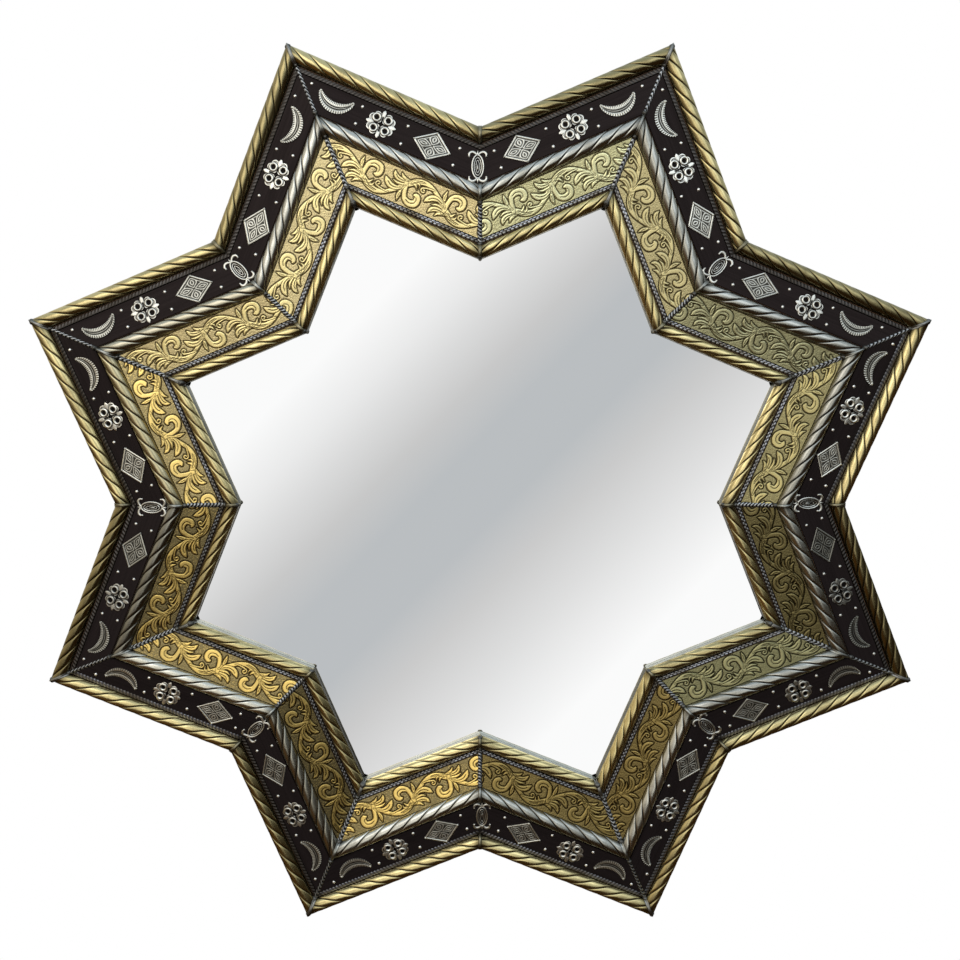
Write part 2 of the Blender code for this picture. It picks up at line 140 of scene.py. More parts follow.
def along_limits(inset):
    """Where a line at this inset meets the mitre at its tip and the one at its inward corner."""
    out = APOTHEM - np.asarray(inset)
    return -out * math.tan(TIP_SPREAD), -out * math.tan(CORNER_SPREAD)


def slope_direction(slope):
    """How far a step along a sloping face goes inwards, and how far it climbs."""
    (foot, low), (head, high) = slope
    run = math.hypot(head - foot, high - low)
    return (head - foot) / run, (high - low) / run


def on_slope(slope, inset, rise):
    """Inset and height of points that stand off a sloping face by a rise along its normal."""
    ahead, up = slope_direction(slope)
    level = slope[0][1] + (inset - slope[0][0]) * up / ahead
    return inset - up * rise, level + ahead * rise


def mitre_spread(corner):
    """Angle between a mitre and its sides' normals, and how far the sides lead out for a step sideways."""
    if corner % 2 == 0:
        return TIP_SPREAD, -math.tan(TIP_SPREAD)
    return CORNER_SPREAD, math.tan(CORNER_SPREAD)


def on_corner(corner, sideways, inset, height):
    """Points beside a mitre: the inset sets how far out they lie, on the side that they are on."""
    spread, lead = mitre_spread(corner)
    angle = FIRST_TIP - STEP * corner
    outwards = np.array([math.cos(angle), 0.0, math.sin(angle)])
    beside = np.array([-math.sin(angle), 0.0, math.cos(angle)])
    sideways, inset, height = np.broadcast_arrays(sideways, inset, height)
    radius = (APOTHEM - inset) / math.cos(spread) + np.abs(sideways) * lead
    return radius[..., None] * outwards + sideways[..., None] * beside + height[..., None] * FRONT


# Meshes from grids of points

# What the finishes read of a surface: how worn and matted it is, how far it is darkened, partly by painted
# shade, and how far it shows a painted reflection of brass
QUALITIES = ("wear", "ground", "darkening", "brass_reflection")


class Patch:
    """A grid of points, with their qualities, and how its rows and columns close."""

    def __init__(self, points, wear=0.0, ground=0.0, darkening=0.0, brass_reflection=0.0, ring=False, tube=True, capped=True):
        self.points = points
        self.qualities = {
            quality: np.broadcast_to(np.asarray(value, float), points.shape[:2])
            for quality, value in zip(QUALITIES, (wear, ground, darkening, brass_reflection))
        }
        self.ring = ring
        self.tube = tube
        self.capped = capped and tube and not ring

    def faces(self, first):
        """Quads between neighbours, then a cap on each end of an open tube."""
        rows, columns = self.points.shape[:2]
        index = first + np.arange(rows * columns).reshape(rows, columns)
        net = np.vstack([index, index[:1]]) if self.ring else index
        net = np.hstack([net, net[:, :1]]) if self.tube else net
        corners = (net[:-1, :-1], net[1:, :-1], net[1:, 1:], net[:-1, 1:])
        quads = np.stack(corners, axis=-1).reshape(-1, 4)
        return quads, [index[0], index[-1][::-1]] if self.capped else []


WELD = 2e-6
SHARP = math.radians(55.0)


def add_piece(name, patches, finish, stands_for=(), body=BODY):
    """One mesh from patches: points that meet are welded and all faces are turned outwards."""
    points = np.concatenate([patch.points.reshape(-1, 3) for patch in patches])
    loops, sizes = [], []
    first = 0
    for patch in patches:
        quads, caps = patch.faces(first)
        loops += [quads.ravel(), *caps]
        sizes += [np.full(len(quads), 4), np.array([len(cap) for cap in caps], int)]
        first += patch.points[..., 0].size
    loops = np.concatenate(loops).astype(np.int32)
    sizes = np.concatenate(sizes)
    mesh = bpy.data.meshes.new(name)
    mesh.vertices.add(len(points))
    mesh.vertices.foreach_set("co", points.astype(np.float32).ravel())
    mesh.loops.add(len(loops))
    mesh.loops.foreach_set("vertex_index", loops)
    mesh.polygons.add(len(sizes))
    mesh.polygons.foreach_set("loop_start", (np.cumsum(sizes) - sizes).astype(np.int32))
    mesh.update(calc_edges=True)
    for quality in QUALITIES:
        values = np.concatenate([patch.qualities[quality].ravel() for patch in patches])
        layer = mesh.attributes.new(quality, "FLOAT", "POINT")
        layer.data.foreach_set("value", values.astype(np.float32))

    bm = bmesh.new()
    bm.from_mesh(mesh)
    bmesh.ops.remove_doubles(bm, verts=bm.verts[:], dist=WELD)
    bmesh.ops.dissolve_degenerate(bm, dist=WELD, edges=bm.edges[:])
    bmesh.ops.recalc_face_normals(bm, faces=bm.faces[:])
    bm.to_mesh(mesh)
    bm.free()
    mesh.shade_smooth()
    mesh.set_sharp_from_angle(angle=SHARP)
    mesh.materials.append(finish)

    piece = bpy.data.objects.new(name, mesh)
    bpy.context.scene.collection.objects.link(piece)
    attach(piece, body)
    if stands_for:
        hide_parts(*stands_for)


def smooth_step(share):
    """A share kept between nought and one, that leaves both of them gently: a cubic."""
    share = np.clip(share, 0.0, 1.0)
    return share * share * (3.0 - 2.0 * share)


def bell(offset, width):
    """One where there is no offset, falling off to both sides of it."""
    return np.exp(-((offset / width) ** 2))


# Node materials

def add_node(tree, kind, inputs=None, **settings):
    """A shader node: an input is either a value or another node's socket, which is linked."""
    node = tree.nodes.new(kind)
    for name, value in settings.items():
        setattr(node, name, value)
    for name, value in (inputs or {}).items():
        if isinstance(value, bpy.types.NodeSocket):
            tree.links.new(value, node.inputs[name])
        else:
            node.inputs[name].default_value = value
    return node


def new_material(name):
    made = bpy.data.materials.new(name)
    made.use_nodes = True
    tree = made.node_tree
    return made, tree, tree.nodes["Principled BSDF"]


def object_coordinates(tree, scale=(1.0, 1.0, 1.0), turn=0.0):
    """The piece's own coordinates, turned about the Y axis and stretched."""
    place = add_node(tree, "ShaderNodeTexCoord").outputs["Object"]
    inputs = {"Vector": place, "Rotation": (0.0, turn, 0.0)}
    turned = add_node(tree, "ShaderNodeMapping", inputs).outputs["Vector"]
    return add_node(tree, "ShaderNodeMapping", {"Vector": turned, "Scale": scale}).outputs["Vector"]


def noise(tree, place, scale, detail, roughness=0.55):
    inputs = {"Vector": place, "Scale": scale, "Detail": detail, "Roughness": roughness}
    return add_node(tree, "ShaderNodeTexNoise", inputs).outputs["Fac"]


def mapped(tree, value, low, high, to_low=0.0, to_high=1.0):
    """A value taken from one range to another and kept inside it."""
    inputs = {"Value": value, "From Min": low, "From Max": high, "To Min": to_low, "To Max": to_high}
    return add_node(tree, "ShaderNodeMapRange", inputs).outputs["Result"]


def combined(tree, operation, first, second):
    return add_node(tree, "ShaderNodeMath", {0: first, 1: second}, operation=operation).outputs[0]


def dot(tree, vector, fixed):
    inputs = {0: vector, 1: fixed}
    return add_node(tree, "ShaderNodeVectorMath", inputs, operation="DOT_PRODUCT").outputs["Value"]


# Sockets of a Mix node that mixes colours
MIX_SHARE = 0
MIX_COLOURS = (6, 7)
MIX_RESULT = 2


def mixed(tree, share, first, second):
    """A colour between two, each three numbers or a socket. The share is a socket."""
    node = add_node(tree, "ShaderNodeMix", data_type="RGBA")
    tree.links.new(share, node.inputs[MIX_SHARE])
    for socket, colour in zip(MIX_COLOURS, (first, second)):
        if isinstance(colour, bpy.types.NodeSocket):
            tree.links.new(colour, node.inputs[socket])
        else:
            node.inputs[socket].default_value = (*colour, 1.0)
    return node.outputs[MIX_RESULT]


def quality_of(tree, quality):
    """How worn, matted or darkened the surface is, or how far it shows a painted reflection of brass, from
    the points of its mesh.
    """
    return add_node(tree, "ShaderNodeAttribute", attribute_name=quality).outputs["Fac"]


def bumped(tree, shader, height, distance, strength):
    inputs = {"Height": height, "Distance": distance, "Strength": strength}
    tree.links.new(add_node(tree, "ShaderNodeBump", inputs).outputs["Normal"], shader.inputs["Normal"])


# Noises are given as scale, detail and, where it differs, roughness, and shown over a part of their range
NOISE_MIDDLE = (0.3, 0.7)

TARNISH_NOISE = (38.0, 5.0, 0.6)
TARNISH_RANGE = (0.42, 0.68)
STREAK_NOISE = (420.0, 2.0)
STREAK_RANGE = (0.35, 0.7)
STREAK_SHARE = 0.25
GROOVE_RANGE = (0.12, 0.85)
DARKENED_TONE = 0.26
DULLEST = 1.4
DULL_ROUGHENING = 0.28
DENT_NOISE = (160.0, 2.0)
PIT_NOISE = (900.0, 2.0)
HAMMER_DEPTH = 0.00012
HAMMER_STRENGTH = 0.5


def metal(name, tones, roughness, tarnish_share=0.5, reflected_brass=None):
    """Worked sheet metal: bright where rubbed, tarnished in soft clouds, dark in grooves, and darkened where
    asked, partly as painted shade.

    The tones are those of bright metal, of tarnished metal and of the grooves. Given a second tone, the
    metal is tinted towards it where the surface shows a painted reflection of brass.
    """
    bright, tarnish, dark = tones
    made, tree, shader = new_material(name)
    place = object_coordinates(tree)
    clouds = mapped(tree, noise(tree, place, *TARNISH_NOISE), *TARNISH_RANGE, 0.0, tarnish_share)
    streaks = mapped(tree, noise(tree, place, *STREAK_NOISE), *STREAK_RANGE, 0.0, STREAK_SHARE)
    aged = combined(tree, "ADD", clouds, combined(tree, "MULTIPLY", streaks, clouds))
    body = mixed(tree, aged, bright, tarnish)
    # Tinted towards brass where the surface shows a painted reflection of it
    if reflected_brass:
        body = mixed(tree, quality_of(tree, "brass_reflection"), body, reflected_brass)
    # The darkened tone: painted shade on some sides, and darkening beside the mitres
    blackened = tuple(DARKENED_TONE * tone for tone in tarnish)
    body = mixed(tree, quality_of(tree, "darkening"), body, blackened)
    grooves = mapped(tree, quality_of(tree, "wear"), *GROOVE_RANGE)
    tree.links.new(mixed(tree, grooves, body, dark), shader.inputs["Base Color"])
    dull = combined(tree, "ADD", aged, grooves)
    rough = mapped(tree, dull, 0.0, DULLEST, roughness, roughness + DULL_ROUGHENING)
    tree.links.new(rough, shader.inputs["Roughness"])
    shader.inputs["Metallic"].default_value = 1.0
    dents = combined(tree, "ADD", noise(tree, place, *DENT_NOISE), noise(tree, place, *PIT_NOISE))
    bumped(tree, shader, dents, HAMMER_DEPTH, HAMMER_STRENGTH)
    return made


PUNCH_SCALE = 520.0
PUNCH_RANGE = (0.1, 0.7)
PUNCH_SHARES = (0.45, 1.15)
PUNCH_DEPTH = 0.00035
PUNCH_STRENGTH = 0.6
SHEET_NOISE = (30.0, 5.0, 0.6)
SHEET_RANGE = (0.42, 0.72)
SHEET_SHARE = 0.45
SHEET_DENT_NOISE = (210.0, 2.0)
SHEET_DENT_SHARE = 0.6
SHEET_DULLEST = 1.1
SHEET_ROUGHNESS = (0.34, 0.52)
DARK_LINE_RANGE = (0.10, 0.75)
DARK_LINE_SHARE = 0.96


def panel_brass(name, bright, ground_tone, dark):
    """Embossed brass sheet: polished scrolls, dark outlines and a ground matted with a fine punch."""
    made, tree, shader = new_material(name)
    place = object_coordinates(tree)
    ground = quality_of(tree, "ground")
    inputs = {"Vector": place, "Scale": PUNCH_SCALE}
    dots = add_node(tree, "ShaderNodeTexVoronoi", inputs).outputs["Distance"]
    punched = combined(tree, "MULTIPLY", ground, mapped(tree, dots, *PUNCH_RANGE, *PUNCH_SHARES))
    clouds = mapped(tree, noise(tree, place, *SHEET_NOISE), *SHEET_RANGE, 0.0, SHEET_SHARE)
    aged = combined(tree, "ADD", clouds, punched)
    body = mixed(tree, mapped(tree, aged, 0.0, 1.0), bright, ground_tone)
    outlines = mapped(tree, quality_of(tree, "wear"), *DARK_LINE_RANGE, 0.0, DARK_LINE_SHARE)
    tree.links.new(mixed(tree, outlines, body, dark), shader.inputs["Base Color"])
    rough = mapped(tree, aged, 0.0, SHEET_DULLEST, *SHEET_ROUGHNESS)
    tree.links.new(rough, shader.inputs["Roughness"])
    shader.inputs["Metallic"].default_value = 1.0
    dents = combined(tree, "MULTIPLY", noise(tree, place, *SHEET_DENT_NOISE), SHEET_DENT_SHARE)
    bumped(tree, shader, combined(tree, "ADD", punched, dents), PUNCH_DEPTH, PUNCH_STRENGTH)
    return made


SHEEN_FACING = (0.55, 0.9)
DUST_NOISE = (40.0, 4.0)
DUST_SHARES = (0.6, 1.0)
DUST_ROUGHNESS = (0.30, 0.45)


def dust_and_sheen_metal(name, dull, dust_and_sheen):
    """Dull sheet metal painted paler where it faces upwards, in faint clouds: a painted sheen of the light
    above, with dust.
    """
    made, tree, shader = new_material(name)
    facing = add_node(tree, "ShaderNodeTexCoord").outputs["Normal"]
    upwards = mapped(tree, dot(tree, facing, (0.0, 0.0, 1.0)), *SHEEN_FACING)
    specks = noise(tree, object_coordinates(tree), *DUST_NOISE)
    clouds = mapped(tree, specks, *NOISE_MIDDLE, *DUST_SHARES)
    share = combined(tree, "MULTIPLY", upwards, clouds)
    tree.links.new(mixed(tree, share, dull, dust_and_sheen), shader.inputs["Base Color"])
    tree.links.new(mapped(tree, clouds, *DUST_SHARES, *DUST_ROUGHNESS), shader.inputs["Roughness"])
    shader.inputs["Metallic"].default_value = 1.0
    return made


WOOD_SHINE = (1.0, 0.80, 0.79)
GRAIN_STRETCH = (4.0, 60.0, 60.0)
GRAIN_NOISE = (1.6, 6.0, 0.65)
GRAIN_RANGE = (0.30, 0.72)
GRAIN_ROUGHENING = 0.12
GRAIN_DEPTH = 0.00012
GRAIN_STRENGTH = 0.35
PORE_STRETCH = (14.0, 420.0, 420.0)
PORE_NOISE = (1.0, 3.0, 0.6)
PORE_RANGE = (0.36, 0.60)


def grained_wood(name, tones, roughness, turn, pores, gloss=0.5):
    """Wood with its grain along one direction: long noise streaks, with fine dark pores on top.

    The tones are a pale and a deep one.
    """
    pale, deep = tones
    made, tree, shader = new_material(name)
    place = object_coordinates(tree, GRAIN_STRETCH, turn)
    streaks = mapped(tree, noise(tree, place, *GRAIN_NOISE), *GRAIN_RANGE, 0.0, 1.0 - pores)
    fine = object_coordinates(tree, PORE_STRETCH, turn)
    lines = mapped(tree, noise(tree, fine, *PORE_NOISE), *PORE_RANGE, 0.0, pores)
    shade = combined(tree, "ADD", streaks, lines)
    tree.links.new(mixed(tree, shade, deep, pale), shader.inputs["Base Color"])
    rough = mapped(tree, shade, 0.0, 1.0, roughness + GRAIN_ROUGHENING, roughness)
    tree.links.new(rough, shader.inputs["Roughness"])
    shader.inputs["Specular IOR Level"].default_value = gloss
    shader.inputs["Specular Tint"].default_value = (*WOOD_SHINE, 1.0)
    bumped(tree, shader, shade, GRAIN_DEPTH, GRAIN_STRENGTH)
    return made


SILVER_NOISE = (3.0, 2.0)
SILVER_TONES = ((0.985, 0.990, 0.990), (0.995, 0.995, 0.995))


def silvered_glass(name):
    """A mirror: a clear silver behind glass, with the faintest unevenness of the sheet."""
    made, tree, shader = new_material(name)
    tone = mapped(tree, noise(tree, object_coordinates(tree), *SILVER_NOISE), *NOISE_MIDDLE)
    tree.links.new(mixed(tree, tone, *SILVER_TONES), shader.inputs["Base Color"])
    shader.inputs["Metallic"].default_value = 1.0
    shader.inputs["Roughness"].default_value = 0.0
    return made


# How far the metalwork is painted darker, by the number of the side: painted shade, for sides that look
# darker only by the light that falls on them

ROPE_PAINTED_SHADE = {
    "outer_rope": {
        0: 0.2, 1: 0.55, 2: 0.15, 3: 0.6, 5: 0.7, 6: 0.15, 7: 0.15,
        10: 0.4, 12: 0.65, 14: 0.2, 15: 0.6,
    },
    "ridge_rope": {
        0: 0.12, 1: 0.2, 2: 0.35, 3: 0.35, 4: 0.5, 5: 0.25, 6: 0.4, 7: 0.05,
        8: 0.38, 10: 0.45, 12: 0.7, 13: 0.32, 14: 0.33, 15: 0.1,
    },
    "inner_rope": {5: 0.1, 6: 0.3, 8: 0.15, 10: 0.4, 11: 0.2, 12: 0.2},
}
BAND_PAINTED_SHADE = {
    0: 0.2, 1: 0.25, 2: 0.1, 3: 0.4, 5: 0.85, 6: 0.4, 7: 0.25,
    8: 0.15, 10: 0.5, 12: 0.6, 13: 0.1, 14: 0.35, 15: 0.2,
}
# Every cartouche is darkened by the same share
CARTOUCHE_AGE = 0.3
BRAID_PAINTED_SHADE = {4: 0.3, 5: 0.6, 6: 0.3, 7: 0.5, 8: 0.5, 9: 0.4, 10: 0.7, 11: 0.5, 12: 0.7, 13: 0.45, 14: 0.2}

# The outer cord is painted dark with shade, and less dark on the sides that catch the sky, where its blue
# grey shows
CORD_PAINTED_SHADE = 0.93
CORD_SHADE_BY_SIDE = {4: 0.5, 6: 0.0, 7: 0.5, 8: 0.0, 9: 0.0, 11: 0.0}

# How far the nickel of the ridge is tinted towards brass: a painted reflection of the brass panels beside it
RIDGE_BRASS_REFLECTION = {10: 0.15, 11: 0.1, 12: 0.1, 13: 0.75, 14: 0.35}

# How dark the metal is made beside the mitres, and how far from them that reaches
MITRE_DARKENING = 0.9
MITRE_DARKENING_REACH = 0.015


def side_and_mitre_darkening(side_painted_shade, from_mitre):
    """The even painted shade of a side, or the darkening beside a mitre, which fades out with the distance
    from it.
    """
    return np.maximum(side_painted_shade, MITRE_DARKENING * (1.0 - smooth_step(from_mitre / MITRE_DARKENING_REACH)))


# Rope mouldings: half-round, with slanting gadroons between incised grooves

ROPE_ROWS = 20
GADROON_PITCH = 0.020
GADROON_ADVANCE = 0.040
GADROON_SAMPLES = np.array([0.0, 0.03, 0.07, 0.13, 0.25, 0.42, 0.58, 0.75, 0.87, 0.93, 0.97])
LOBE_DEPTH = 0.0004
NOTCH_DEPTH = 0.0009
NOTCH_SHARE = 0.06
MITRE_FADE = 0.0030

# Added to the cosine that falls to nothing at the feet of a rope, so that it always has a root
ROOT_GUARD = 1e-9

# Sides on which the gadroons slant the other way
OUTER_REVERSED = range(1, 11)
INNER_REVERSED = range(8, 11)


def rope_patch(side, rope, lean):
    """One length of rope: a half-round whose points advance along the side as they climb over it.

    Lines of points follow the gadroons. Each gadroon sinks by a parabola towards its edges, and a narrow
    bell cuts the groove between two of them. Both run out at the base and just before the mitres.
    """
    share = np.linspace(-0.5, 0.5, ROPE_ROWS + 1)[None, :]
    angle = np.pi * share
    first, last = along_limits(rope.middle - rope.half * np.sin(angle))
    start = first.min() - GADROON_ADVANCE
    count = math.ceil((last.max() + GADROON_ADVANCE - start) / GADROON_PITCH)
    turns = (np.arange(count)[:, None] + GADROON_SAMPLES[None, :]).reshape(-1, 1)
    slant = lean * GADROON_ADVANCE * share
    along = np.clip(start + GADROON_PITCH * turns + slant, first, last)
    phase = (along - start - slant) / GADROON_PITCH
    from_groove = np.abs(phase - np.round(phase))
    from_mitre = np.minimum(along - first, last - along)
    fade = smooth_step(from_mitre / MITRE_FADE) * np.sqrt(np.cos(angle) + ROOT_GUARD)
    notch = bell(from_groove, NOTCH_SHARE)
    depth = fade * (LOBE_DEPTH * (1.0 - 2.0 * from_groove) ** 2 + NOTCH_DEPTH * notch)
    inset = rope.middle - (rope.half - depth) * np.sin(angle)
    height = rope.seat + (rope.height - depth) * np.cos(angle)
    # Painted shade of the side, and darkening beside the mitres
    darkening = side_and_mitre_darkening(ROPE_PAINTED_SHADE[rope.node].get(side, 0.0), from_mitre)
    # The ridge's nickel tinted towards brass on some sides: a painted reflection of the brass beside it
    brass_reflection = RIDGE_BRASS_REFLECTION.get(side, 0.0) if rope is RIDGE_ROPE else 0.0
    return Patch(on_side(side, along, inset, height), wear=fade * notch, darkening=darkening, brass_reflection=brass_reflection, capped=False)


def add_rope(rope, reversed_sides, finish):
    """All sixteen lengths of a rope, welded at the mitres into one ring."""
    patches = [rope_patch(side, rope, 1.0 if side in reversed_sides else -1.0) for side in range(SIDES)]
    add_piece(f"{rope.node}_gadroons", patches, finish, stands_for=[rope.node])


# Strips over the mitres, and the solder beads that close their ends

STRIP_SAMPLES = np.linspace(-1.0, 1.0, 9)
STRIP_STEP = 0.0006
STRIP_SINK = 0.0006
COVER_HALF_WIDTH = 0.0023
COVER_CROWN = 0.0010
BAND_STRIP_HALF_WIDTH = 0.0023
BAND_STRIP_CROWN = 0.0012
PANEL_STRIP_HALF_WIDTH = 0.0031
PANEL_STRIP_CROWN = 0.0013
TWIST_PITCH = 0.0036
TWIST_DEPTH = 0.0004
TWIST_SLANT = 0.45
TWIST_WEAR = 0.5
TWIST_WEAR_SWING = 0.6
COVER_EDGE_WEAR = 0.9


def mitre_strip(corner, inset, height, lift, half_width, crown, twist):
    """A half-round strip bent over a mitre, plain or with slanting ridges like a twisted wire.

    Inset and height give the path across the frame, and lift the direction that the strip stands up in. The
    ridges are a cosine of the length along the path, shifted by the place across it.
    """
    step = np.hypot(np.diff(inset), np.diff(height))
    length = np.concatenate([[0.0], np.cumsum(step)])[:, None]
    across = STRIP_SAMPLES[None, :]
    ridge = np.cos(2.0 * np.pi * (length / TWIST_PITCH + TWIST_SLANT * across))
    edge = np.clip(1.0 - across ** 2, 0.0, 1.0)
    rise = crown * np.sqrt(edge) + twist * ridge * edge
    rise = np.where(np.abs(across) == 1.0, -STRIP_SINK, rise)
    points_inset = inset[:, None] + lift[0][:, None] * rise
    points_height = height[:, None] + lift[1][:, None] * rise
    points = on_corner(corner, half_width * across, points_inset, points_height)
    wear = TWIST_WEAR - TWIST_WEAR_SWING * ridge if twist else COVER_EDGE_WEAR * across ** 4
    return Patch(points, wear=np.clip(wear, 0.0, 1.0))


def rope_cover(corner, rope):
    """The plain strip over one mitre of a rope, from one foot of the half-round to the other."""
    steps = math.ceil(math.pi * rope.half / STRIP_STEP)
    angle = np.linspace(-np.pi / 2, np.pi / 2, steps + 1)
    inset = rope.middle - rope.half * np.sin(angle)
    height = rope.seat + rope.height * np.cos(angle)
    lift = (-np.sin(angle), np.cos(angle))
    return mitre_strip(corner, inset, height, lift, COVER_HALF_WIDTH, COVER_CROWN, 0.0)


def slope_strip(corner, slope, start, end, stand, half_width, crown):
    """The twisted strip over a mitre of a sloping band or panel, from one inset to another."""
    steps = math.ceil((end - start) / STRIP_STEP)
    inset, height = on_slope(slope, np.linspace(start, end, steps + 1), stand)
    ahead, up = slope_direction(slope)
    lift = (np.full(steps + 1, -up), np.full(steps + 1, ahead))
    return mitre_strip(corner, inset, height, lift, half_width, crown, TWIST_DEPTH)


SOLDER_HEIGHT = 0.0030
TIP_SOLDER = 0.0034
INNER_TIP_SOLDER = 0.0046
INNER_CORNER_SOLDER = 0.0030
JOINT_SOLDER = 0.0032
TIP_SOLDER_INSET = 0.0030
INNER_SOLDER_INSET = 0.0026
JOINT_SOLDER_INSET = 0.0008
SOLDER_AROUND = 16
SOLDER_ROWS = 11
SOLDER_DENTS = 3.0
SOLDER_DENT_SHARE = 0.08
SOLDER_STRETCH = 1.2
SOLDER_WEAR = 0.5


def solder_bead(corner, inset, height, radius):
    """A lump of solder at the end of a mitre: a sphere drawn out along the height, with soft dents."""
    around = 2.0 * np.pi * np.arange(SOLDER_AROUND)[:, None] / SOLDER_AROUND
    climb = np.linspace(-np.pi / 2, np.pi / 2, SOLDER_ROWS)[None, :]
    dents = np.sin(SOLDER_DENTS * around + corner) * np.cos(climb)
    reach = radius * (1.0 + SOLDER_DENT_SHARE * dents)
    sideways = reach * np.cos(climb) * np.cos(around)
    outwards = reach * np.cos(climb) * np.sin(around)
    spread, lead = mitre_spread(corner)
    flat = inset - (outwards - np.abs(sideways) * lead) * math.cos(spread)
    tall = height + SOLDER_STRETCH * reach * np.sin(climb)
    return Patch(on_corner(corner, sideways, flat, tall), wear=SOLDER_WEAR, ring=True, tube=False)


def joint_solder():
    """Lumps of solder where the strips end at the ropes: on the panels, and on the bands at the tips."""
    panel_ends = (INNER_SLOPE, RIDGE_ROPE.end, INNER_ROPE.start)
    band_ends = (OUTER_SLOPE, OUTER_ROPE.end, RIDGE_ROPE.start)
    lumps = []
    for corner in range(SIDES):
        strips = (panel_ends, band_ends) if corner % 2 == 0 else (panel_ends,)
        for slope, start, end in strips:
            for place in (start + JOINT_SOLDER_INSET, end - JOINT_SOLDER_INSET):
                inset, height = on_slope(slope, place, PANEL_THICKNESS)
                lumps.append(solder_bead(corner, inset, height, JOINT_SOLDER))
    return lumps


def add_mitre_strips(covers, tip_cover, finish):
    """A plain cover on each rope's mitres, twisted strips on the bands' tips and the panels, and solder."""
    corners = range(SIDES)
    tips = range(0, SIDES, 2)
    for rope, cover in zip((OUTER_ROPE, RIDGE_ROPE, INNER_ROPE), covers):
        strips = [rope_cover(corner, rope) for corner in range(1, SIDES, 2)]
        add_piece(f"{rope.node}_corner_covers", strips, cover)
        strips = [rope_cover(tip, rope) for tip in tips]
        at_tips = cover if rope is RIDGE_ROPE else tip_cover
        add_piece(f"{rope.node}_tip_covers", strips, at_tips)
    band = (OUTER_SLOPE, OUTER_ROPE.end, BAND_END, BAND_THICKNESS, BAND_STRIP_HALF_WIDTH, BAND_STRIP_CROWN)
    add_piece("band_mitre_strips", [slope_strip(tip, *band) for tip in tips], finish)
    across_panel = (INNER_SLOPE, RIDGE_ROPE.end, INNER_ROPE.start)
    panel = (*across_panel, PANEL_THICKNESS, PANEL_STRIP_HALF_WIDTH, PANEL_STRIP_CROWN)
    strips = [slope_strip(corner, *panel) for corner in corners]
    add_piece("panel_mitre_strips", strips, finish)
    outer = (OUTER_ROPE.start + TIP_SOLDER_INSET, OUTER_ROPE.seat + SOLDER_HEIGHT, TIP_SOLDER)
    inner = (INNER_ROPE.end - INNER_SOLDER_INSET, INNER_ROPE.seat + SOLDER_HEIGHT)
    beads = [solder_bead(tip, *outer) for tip in tips] + joint_solder()
    for corner in corners:
        beads.append(solder_bead(corner, *inner, INNER_CORNER_SOLDER if corner % 2 else INNER_TIP_SOLDER))
    add_piece("solder_beads", beads, tip_cover)


# Beaded strips

BEAD_PITCH = 0.0050
CORD_PITCH = 0.0042
BEAD_STEPS = 6
BEAD_ROWS = np.array([-1.0, -0.8, -0.6, -0.38, -0.16, 0.0, 0.16, 0.38, 0.6, 0.8, 1.0])
BEAD_RISE = 0.0009
BEAD_ROW_PLACE = 0.38
BEAD_REACH = 0.46
CORD_SLANT = 0.38
CORD_HOLLOW = 0.25
HOLLOW_WEAR = 0.95
WEAR_FALL = 1.3


def braid_rise(along, across):
    """Two rows of round domes over ellipses, set half a pitch apart, as a share of the full rise."""
    rise = np.zeros_like(along)
    for row, shift in ((-BEAD_ROW_PLACE, 0.0), (BEAD_ROW_PLACE, 0.5)):
        phase = along / BEAD_PITCH + shift
        ahead = (phase - np.round(phase)) / BEAD_REACH
        beside = (across - row) / BEAD_REACH
        rise = np.maximum(rise, np.sqrt(np.clip(1.0 - ahead ** 2 - beside ** 2, 0.0, 1.0)))
    return rise


def cord_rise(along, across):
    """A half-round cord with slanting strands, a squared cosine of the run, as a share of the full rise."""
    strand = np.cos(np.pi * (along / CORD_PITCH + CORD_SLANT * across)) ** 2
    arch = np.sqrt(np.clip(1.0 - across ** 2, 0.0, 1.0))
    return arch * (CORD_HOLLOW + (1.0 - CORD_HOLLOW) * strand)


def bead_patch(side, slope, start, end, pitch, pattern, side_painted_shade):
    """A strip whose top follows a pattern, and whose edges go down to its foot."""
    across = BEAD_ROWS[None, :]
    inset = (start + end) / 2 + (end - start) / 2 * across
    first, last = along_limits(inset)
    steps = BEAD_STEPS * round(np.mean(last - first) / pitch)
    along = first + (last - first) * np.linspace(0.0, 1.0, steps + 1)[:, None]
    rise = pattern(along, across)
    stand_off = np.where(np.abs(across) == 1.0, 0.0, BEAD_THICKNESS + BEAD_RISE * rise)
    points = on_side(side, along, *on_slope(slope, inset, stand_off))
    # Painted shade of the side, and darkening beside the mitres
    darkening = side_and_mitre_darkening(side_painted_shade, np.minimum(along - first, last - along))
    wear = np.clip(HOLLOW_WEAR - WEAR_FALL * rise, 0.0, 1.0)
    return Patch(points, wear=wear, darkening=darkening, capped=False)


def add_beads(outer_finish, inner_finish):
    """The corded strip beside the outer rope and the braided one beside the inner rope."""
    outer = (OUTER_SLOPE, OUTER_ROPE.end + 2 * GAP, BAND_START - GAP, CORD_PITCH, cord_rise)
    inner = (INNER_SLOPE, PANEL_END, INNER_ROPE.start - 2 * GAP, BEAD_PITCH, braid_rise)
    patches = [bead_patch(side, *outer, CORD_SHADE_BY_SIDE.get(side, CORD_PAINTED_SHADE)) for side in range(SIDES)]
    add_piece("outer_bead_cord", patches, outer_finish, stands_for=["outer_bead"])
    patches = [bead_patch(side, *inner, BRAID_PAINTED_SHADE.get(side, 0.0)) for side in range(SIDES)]
    add_piece("inner_bead_braid", patches, inner_finish, stands_for=["inner_bead"])


# Embossed panels: a running scroll drawn in millimetres, one bay of it to each half wave of the stem

